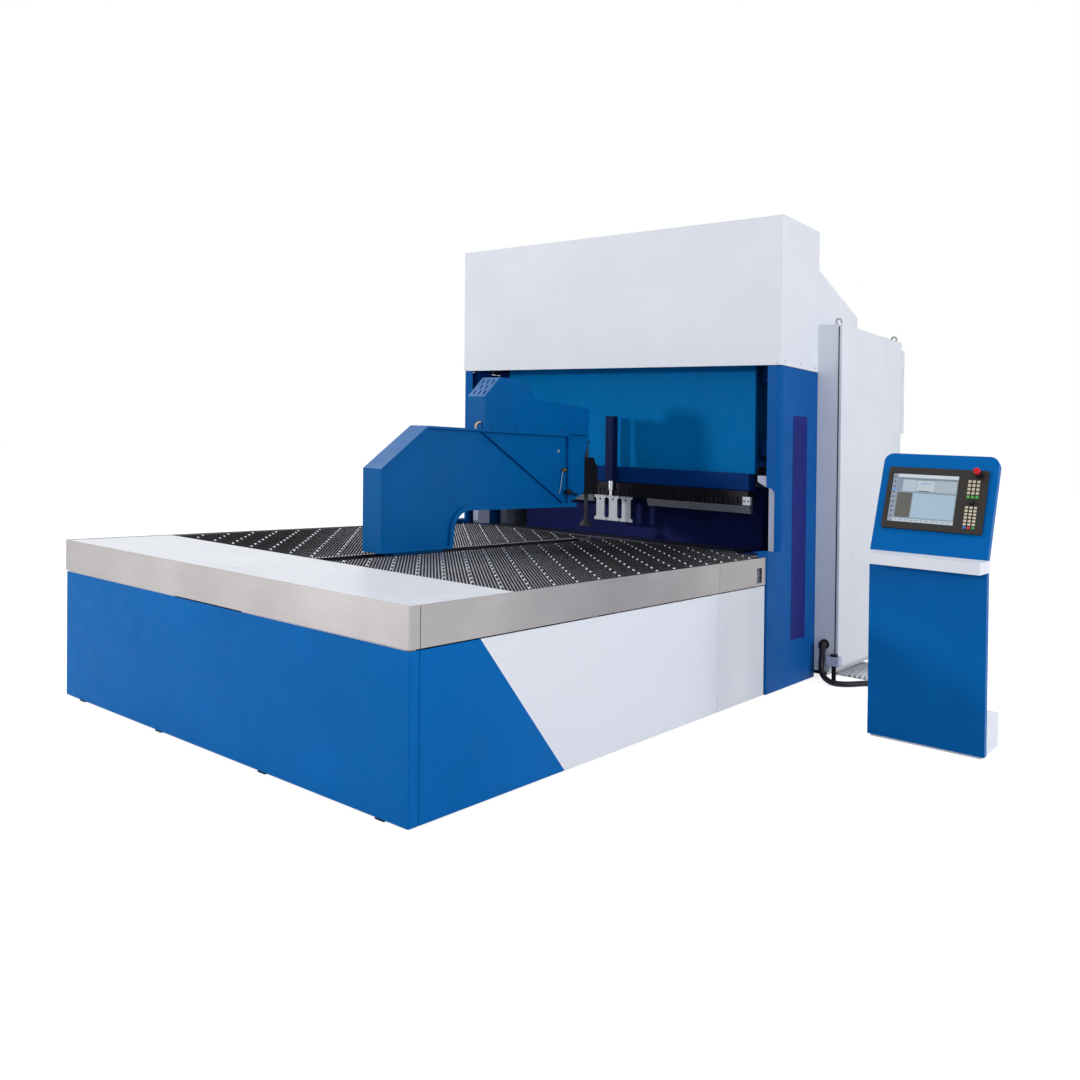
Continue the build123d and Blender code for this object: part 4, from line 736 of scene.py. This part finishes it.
def makeEndStops(settings):
    x, y, z = settings["middle"]
    depth, spread = settings["size"][1], settings["screwSpread"]
    screws = []
    for side, label in bothSides:
        mesh = softBox(settings["size"], settings["edge"], (side * x, y - depth / 2, z))
        meshPiece("endStop_" + label, mesh, nickelSteel, "upper_beam", "tool_steel")
        for dx in (-spread, spread):
            screws.append(((side * x + dx, y - depth, z + settings["screwRise"]), toFront))
    setOnSpots("endStopScrews", screws, screwHead, darkSteel, "upper_beam", "tool_steel",
               settings["screwRadius"])


makeEndStops(endStop)

# handles and hinges on the rear doors, sizes as width, depth and height
rearDoor = {
    "handle": (0.028, 0.026, 0.13),
    "handleInset": 0.085,
    "handleHeights": (1.08,),
    "hinge": (0.022, 0.02, 0.09),
    "hingeInset": 0.014,
    "hingeHeights": (0.35, 1.85),
    "edge": 0.004,
}


def makeRearDoors(settings):
    for name, key, reach in (("rearHandles", "handle", doorWidth - settings["handleInset"]),
                             ("rearHinges", "hinge", settings["hingeInset"])):
        wide, deep, tall = settings[key]
        head = softBox((wide, tall, deep), settings["edge"])
        spots = [((rearLow.x + k * doorWidth + reach, rearHigh.y, z), toRear)
                 for k in range(doorCount) for z in settings[key + "Heights"]]
        setOnSpots(name, spots, head, blackPlastic, "machine", "black_paint")


makeRearDoors(rearDoor)

# centre tools: three plates whose sides are hollowed between foot and head
centreTools = {
    "columns": (-1, 0, 1),
    "spacing": 0.124,
    "half": 0.058,
    "hollow": 0.019,
    "foot": 0.022,
    "head": 0.02,
    "round": 0.014,
    "roundSteps": 5,
    "screwDrop": 0.03,
    "screwRadius": 0.007,
}


def makeCentreTools(settings):
    low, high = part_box("centre_tools")
    half, hollow, steps = settings["half"], settings["hollow"], settings["roundSteps"]
    start, end = low.z + settings["foot"], high.z - settings["head"]
    inner = half - hollow
    arc = []
    for k in range(steps + 1):
        turn = math.radians(90 / steps * k)
        rise = settings["round"] * (1 - math.cos(turn))
        arc.append((inner + hollow * (1 - math.sin(turn)), rise))
    edge = [(half, low.z), (half, start), *[(x, start + rise) for x, rise in arc],
            *[(x, end - rise) for x, rise in reversed(arc)], (half, high.z)]
    edge = list(dict.fromkeys(edge))
    outline = edge + [(-x, z) for x, z in reversed(edge)]
    middles = [k * settings["spacing"] for k in settings["columns"]]
    outlines = [[(x + middle, low.y, z) for x, z in outline] for middle in middles]
    mesh = prisms("centreTools", outlines, (0, high.y - low.y, 0))
    tools = meshPiece("centreTools", mesh, nickelSteel, "upper_beam", "white_paint")
    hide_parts("centre_tools")
    screws = [((x, low.y, high.z - settings["screwDrop"]), toFront) for x in middles]
    setOnSpots("centreToolScrews", screws, screwHead, darkSteel, "upper_beam", "tool_steel",
               settings["screwRadius"])


makeCentreTools(centreTools)
print("end stops, rear doors and centre tools made")


# fittings on the manipulator's right side plate, as seen in the picture;
# profiles are (radius, height), the line and the rod are given from their own spots
armFittings = {
    "plate": 0.054,
    "plugSpot": (-0.879, 1.610),
    "plug": [(0.011, 0.0), (0.011, 0.004), (0.009, 0.006), (0.006, 0.006), (0.005, 0.002),
             (0, 0.002)],
    "nippleSpot": (-0.826, 1.472),
    "stem": [(0.008, 0.0), (0.008, 0.012), (0.014, 0.0125), (0.014, 0.026), (0.009, 0.027),
             (0.009, 0.034), (0, 0.034)],
    "tee": [(0, -0.03), (0.006, -0.03), (0.006, -0.018), (0.011, -0.017), (0.011, -0.008),
            (0.008, -0.007), (0.008, 0.007), (0.011, 0.008), (0.011, 0.017), (0.006, 0.018),
            (0.006, 0.03), (0, 0.03)],
    "teeGap": 0.02,
    "line": [(0.008, -0.842, 1.470), (0.006, -0.848, 1.445), (0.002, -0.859, 1.376),
             (0.002, -0.868, 1.335), (0.0, -0.877, 1.300), (-0.02, -0.880, 1.290)],
    "lineGap": 0.012,
    "lineRadius": 0.0022,
    "cable": [(0.04, -1.712, 1.786), (0.04, -1.738, 1.784), (0.04, -1.756, 1.772),
              (0.04, -1.764, 1.756), (0.04, -1.766, 1.736)],
    "cableRadius": 0.006,
    "leverSpot": (0.054, -0.804, 1.313),
    "knob": [(0.009, 0.0), (0.009, 0.03), (0.018, 0.032), (0.022, 0.042), (0.022, 0.052),
             (0.017, 0.06), (0, 0.062)],
    "rod": [(0.044, 0, 0), (0.044, 0.06, -0.012), (0.034, 0.11, -0.022), (0.002, 0.17, -0.024)],
    "rodRadius": 0.0065,
}


def makeArmFittings(facts):
    face = facts["plate"]
    plug = placed(turned(facts["plug"], sides=16), (face, *facts["plugSpot"]), toRight)
    stem = placed(turned(facts["stem"], sides=6), (face, *facts["nippleSpot"]), toRight)
    teeSpot = (face + facts["teeGap"], *facts["nippleSpot"])
    tee = placed(turned(facts["tee"], sides=8), teeSpot, toRear)
    linePoints = [(face + facts["lineGap"] + x, y, z) for x, y, z in facts["line"]]
    line = bentTube("greaseLine", linePoints, facts["lineRadius"])
    cable = bentTube("coverCable", facts["cable"], facts["cableRadius"])
    knob = placed(turned(facts["knob"], sides=18), facts["leverSpot"], toRight)
    x, y, z = facts["leverSpot"]
    rodPoints = [(x + dx, y + dy, z + dz) for dx, dy, dz in facts["rod"]]
    rod = bentTube("leverRod", rodPoints, facts["rodRadius"])
    for name, mesh, material, slot in (("sightPlug", plug, nickelSteel, "ground_steel"),
                                       ("nippleStem", stem, brassMetal, "ground_steel"),
                                       ("nippleTee", tee, brassMetal, "ground_steel"),
                                       ("greaseLine", line, nickelSteel, "ground_steel"),
                                       ("coverCable", cable, cablePlastic, "black_paint"),
                                       ("leverKnob", knob, blackPlastic, "black_paint"),
                                       ("leverRod", rod, blackPlastic, "black_paint")):
        meshPiece(name, mesh, material, "manipulator", slot)


makeArmFittings(armFittings)
print("arm fittings set")


# black strips where the rear side sheets meet their corner posts, painted shade of the open seams,
# and white aprons at the foot: one on the step's face and one along the side of the base
cornerSeamShade = {"foot": 0.19, "inset": 0.026, "width": 0.009, "proud": 0.0008, "margin": 0.012,
              "edge": 0.0003}
stepApron = {"size": (0.115, 0.003, 0.124), "spot": (1.5645, 0.066), "edge": 0.0008}
sideApron = {"thickness": 0.003, "shorter": 0.02, "height": 0.07, "foot": 0.045, "edge": 0.0008}


def makeCornerSeams(seam, step, skirt):
    low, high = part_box("rear_side_panels")
    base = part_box("machine_base")[1]
    for side, label in bothSides:
        size = (seam["width"], 2 * seam["proud"], high.z - seam["foot"] - 2 * seam["margin"])
        foot = (side * (high.x - seam["inset"]), low.y, seam["foot"] + seam["margin"])
        strip = softBox(size, seam["edge"], foot)
        meshPiece("cornerSeam_" + label, strip, blackPlastic, "machine", "black_paint")
        x, z = step["spot"]
        foot = (side * x, low.y - step["size"][1] / 2, z)
        sheet = softBox(step["size"], step["edge"], foot)
        meshPiece("stepApron_" + label, sheet, whiteCoat, "machine", "white_paint")
        size = (skirt["thickness"], base.y - low.y - skirt["shorter"], skirt["height"])
        foot = (side * (base.x + skirt["thickness"] / 2), (base.y + low.y) / 2, skirt["foot"])
        sheet = softBox(size, skirt["edge"], foot)
        meshPiece("sideApron_" + label, sheet, whiteCoat, "machine", "white_paint")


makeCornerSeams(cornerSeamShade, stepApron, sideApron)
print("seams and aprons set")


# console: key caps and a picture on the tilted panel
panelFacts = {
    "middle": Vector((2.671, -0.660509, 1.423620)),
    "tilt": math.radians(23.0),
    "thickness": 0.014,
    "screen": (-0.065, 0.0, 0.381, 0.310),
    "screenDepth": 0.0018,
    "pictureShare": 0.985,
    "paneDepth": 0.0002,
    "paneStep": 0.00002,
}
panelUp = Vector((0, math.sin(panelFacts["tilt"]), math.cos(panelFacts["tilt"])))
panelOut = Vector((0, -math.cos(panelFacts["tilt"]), math.sin(panelFacts["tilt"])))


def onPanel(x, up, out):
    rise = panelUp * up + panelOut * (panelFacts["thickness"] + out)
    return panelFacts["middle"] + Vector((x, 0, 0)) + rise


# two fields of caps, three columns each; the last row has its own colours
keyPad = {
    "x": 0.210,
    "spacing": 0.024,
    "columns": 3,
    "edge": 0.0012,
    "upper": {"middle": 0.076, "step": 0.024, "rows": 5, "cap": (0.0165, 0.0165, 0.0032),
              "plain": "#B9B097", "last": ["#3B9A3C"] * 3},
    "lower": {"middle": -0.099, "step": 0.0206, "rows": 7, "cap": (0.0165, 0.0135, 0.0032),
              "plain": "#C0B79F", "last": ["#2F6DB5", "#C62A2A", "#2F8F44"]},
}


def makeKeys(settings):
    for name in ("upper", "lower"):
        field = settings[name]
        lastRow = field["rows"] - 1
        spots, tints = [], []
        for column in range(settings["columns"]):
            x = settings["x"] + (column - 1) * settings["spacing"]
            for row in range(field["rows"]):
                up = field["middle"] + lastRow / 2 * field["step"] - row * field["step"]
                spots.append((tuple(onPanel(x, up, 0.0)), tuple(panelOut)))
                tints.append(field["last"][column] if row == lastRow else field["plain"])
        cap = softBox(field["cap"], settings["edge"])
        setOnSpots("keyCaps_" + name, spots, cap, keyPlastic, "machine", "key_plastic",
                               tints=tints)
    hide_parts("console_keys")


makeKeys(keyPad)

# picture on the display: plain panes and bars as left, top, right, bottom and colour,
# in shares of the screen from its top left corner; later ones lie on earlier ones
displayPanes = [
    (0.00, 0.00, 1.00, 1.00, "#7E909C"), (0.00, 0.00, 0.075, 1.00, "#8B96A3"),
    (0.075, 0.00, 1.00, 0.07, "#C4CED6"), (0.09, 0.085, 1.00, 0.10, "#66708A"),
    (0.10, 0.12, 0.155, 0.36, "#7F8A9B"), (0.165, 0.12, 0.37, 0.36, "#AEBBC5"),
    (0.38, 0.13, 0.66, 0.35, "#B4C0C9"), (0.67, 0.12, 0.985, 0.36, "#A3AFB8"),
    (0.45, 0.175, 0.60, 0.195, "#6F9AC8"), (0.42, 0.335, 0.58, 0.355, "#5B6472"),
    (0.10, 0.39, 0.33, 0.905, "#54544F"), (0.345, 0.40, 0.985, 0.905, "#9CB4C5"),
    (0.075, 0.93, 1.00, 1.00, "#B4C0CA"), (0.012, 0.30, 0.063, 0.355, "#5E93CE"),
]
displayMarks = {
    "menu": {"count": 9, "top": 0.05, "step": 0.1, "tall": 0.035, "span": (0.018, 0.057),
             "groupSize": 3, "groupGap": 0.02, "colour": "#4D5568"},
    "foot": {"count": 11, "left": 0.10, "step": 0.08, "wide": 0.045, "span": (0.955, 0.968),
             "colour": "#626C7C"},
    "bars": {"count": 5, "top": 0.15, "step": 0.04, "tall": 0.007, "left": (0.18, 0.30),
             "leftColour": "#9FB0C6", "right": (0.70, 0.80), "grow": (0.0, 0.02, 0.04),
             "rightColour": "#AAB4BD"},
}


def markPanes(menu, foot, bars):
    panes = []
    for k in range(menu["count"]):
        top = menu["top"] + menu["step"] * k + (menu["groupGap"] if k >= menu["groupSize"] else 0)
        left, right = menu["span"]
        panes.append((left, top, right, top + menu["tall"], menu["colour"]))
    for k in range(foot["count"]):
        left = foot["left"] + foot["step"] * k
        top, bottom = foot["span"]
        panes.append((left, top, left + foot["wide"], bottom, foot["colour"]))
    for k in range(bars["count"]):
        top = bars["top"] + bars["step"] * k
        bottom = top + bars["tall"]
        left, right = bars["left"]
        panes.append((left, top, right, bottom, bars["leftColour"]))
        left, right = bars["right"]
        right += bars["grow"][k % len(bars["grow"])]
        panes.append((left, top, right, bottom, bars["rightColour"]))
    return panes


boxFaces = [(3, 2, 1, 0), (4, 5, 6, 7), (0, 1, 5, 4), (1, 2, 6, 5), (2, 3, 7, 6), (3, 0, 4, 7)]


def makePicture(panes, settings):
    middleX, middleUp, width, height = settings["screen"]
    wide, tall = width * settings["pictureShare"], height * settings["pictureShare"]
    rear = -settings["screenDepth"] - settings["paneDepth"]
    points, faces, tints = [], [], []
    for layer, (left, top, right, bottom, code) in enumerate(panes):
        first = len(points)
        faces += [[first + k for k in face] for face in boxFaces]
        for out in (rear, -settings["screenDepth"] + settings["paneStep"] * layer):
            for u, v in ((left, bottom), (right, bottom), (right, top), (left, top)):
                points.append(onPanel(middleX + (u - 0.5) * wide, middleUp + (0.5 - v) * tall, out))
                tints.append(hexColour(code))
    mesh = bpy.data.meshes.new("displayPicture")
    mesh.from_pydata(points, [], faces)
    colour = mesh.attributes.new("tint", "FLOAT_COLOR", "POINT")
    colour.data.foreach_set("color", [c for tint in tints for c in tint])
    meshPiece("displayPicture", mesh, displayPicture, "machine", "screen_glass")


makePicture(displayPanes + markPanes(**displayMarks), panelFacts)
print("console dressed")


# stage: pale floor, plain white beyond, and lamps as place, target, size, power and colour
stageFacts = {
    "floor": "#CFCFD1",
    "floorHalf": 60,
    "floorLift": 0.78,
    "sky": (0.98, 0.99, 1, 1),
    "skyPower": 0.42,
    "lamps": {
        "keyLamp": ((-4.4, -12.3, 3.2), (0.4, 0.0, 2.0), 0.9, 535, "#FFFDF9"),
        "sideLamp": ((11.5, -1.0, 4.8), (0.6, -0.4, 1.2), 6.0, 590, "#FCFDFF"),
        "fillLamp": ((8.0, -9.5, 4.0), (1.0, 0.0, 1.2), 4.0, 150, "#FCFDFF"),
        "topLamp": ((0.5, -2.0, 9.0), (0.5, -1.2, 0.0), 8.0, 135, "#FFFFFF"),
        "edgeLamp": ((-5.6, -2.4, 8.2), (0.0, -2.0, 1.5), 2.6, 215, "#FFFFFF"),
    },
}
plainWhite = (1, 1, 1, 1)


# rays that come from the camera or a reflection, for the floor and the world only
def seenRays(tree):
    rays = addNode(tree, "ShaderNodeLightPath").outputs
    return rays, reckon(tree, "MAXIMUM", rays["Is Camera Ray"], rays["Is Glossy Ray"])


def makeFloor(facts):
    half = facts["floorHalf"]
    corners = [(-half, -half, 0), (half, -half, 0), (half, half, 0), (-half, half, 0)]
    mesh = bpy.data.meshes.new("floor")
    mesh.from_pydata(corners, [], [(0, 1, 2, 3)])
    floor = bpy.data.objects.new("floor", mesh)
    scene.collection.objects.link(floor)
    mat, tree, shader = newMaterial("paleFloor", Base_Color=hexColour(facts["floor"]),
                                    Roughness=0.9, Specular_IOR_Level=0.1,
                                    Emission_Color=plainWhite)
    rays, seen = seenRays(tree)
    lift = reckon(tree, "MULTIPLY", seen, facts["floorLift"])
    tree.links.new(lift, shader.inputs["Emission Strength"])
    mesh.materials.append(mat)


def makeWorld(facts):
    world = bpy.data.worlds.new("studio")
    scene.world = world
    world.use_nodes = True
    tree = world.node_tree
    tree.nodes.clear()
    rays, seen = seenRays(tree)
    clear = reckon(tree, "MAXIMUM", seen, rays["Is Transmission Ray"])
    soft, white = [addNode(tree, "ShaderNodeBackground", {0: colour, 1: power}).outputs[0]
                   for colour, power in ((facts["sky"], facts["skyPower"]), (plainWhite, 1.0))]
    both = addNode(tree, "ShaderNodeMixShader", {0: clear, 1: soft, 2: white}).outputs[0]
    addNode(tree, "ShaderNodeOutputWorld", {0: both})


def makeLamps(lamps):
    for name, (place, target, size, power, tint) in lamps.items():
        lamp = bpy.data.lights.new(name, "AREA")
        lamp.size = size
        lamp.energy = power
        lamp.color = hexColour(tint)[:3]
        holder = bpy.data.objects.new(name, lamp)
        holder.location = place
        aim = Vector(target) - Vector(place)
        holder.rotation_euler = aim.to_track_quat("-Z", "Y").to_euler()
        scene.collection.objects.link(holder)


makeFloor(stageFacts)
makeWorld(stageFacts)
makeLamps(stageFacts["lamps"])
print("stage lit")
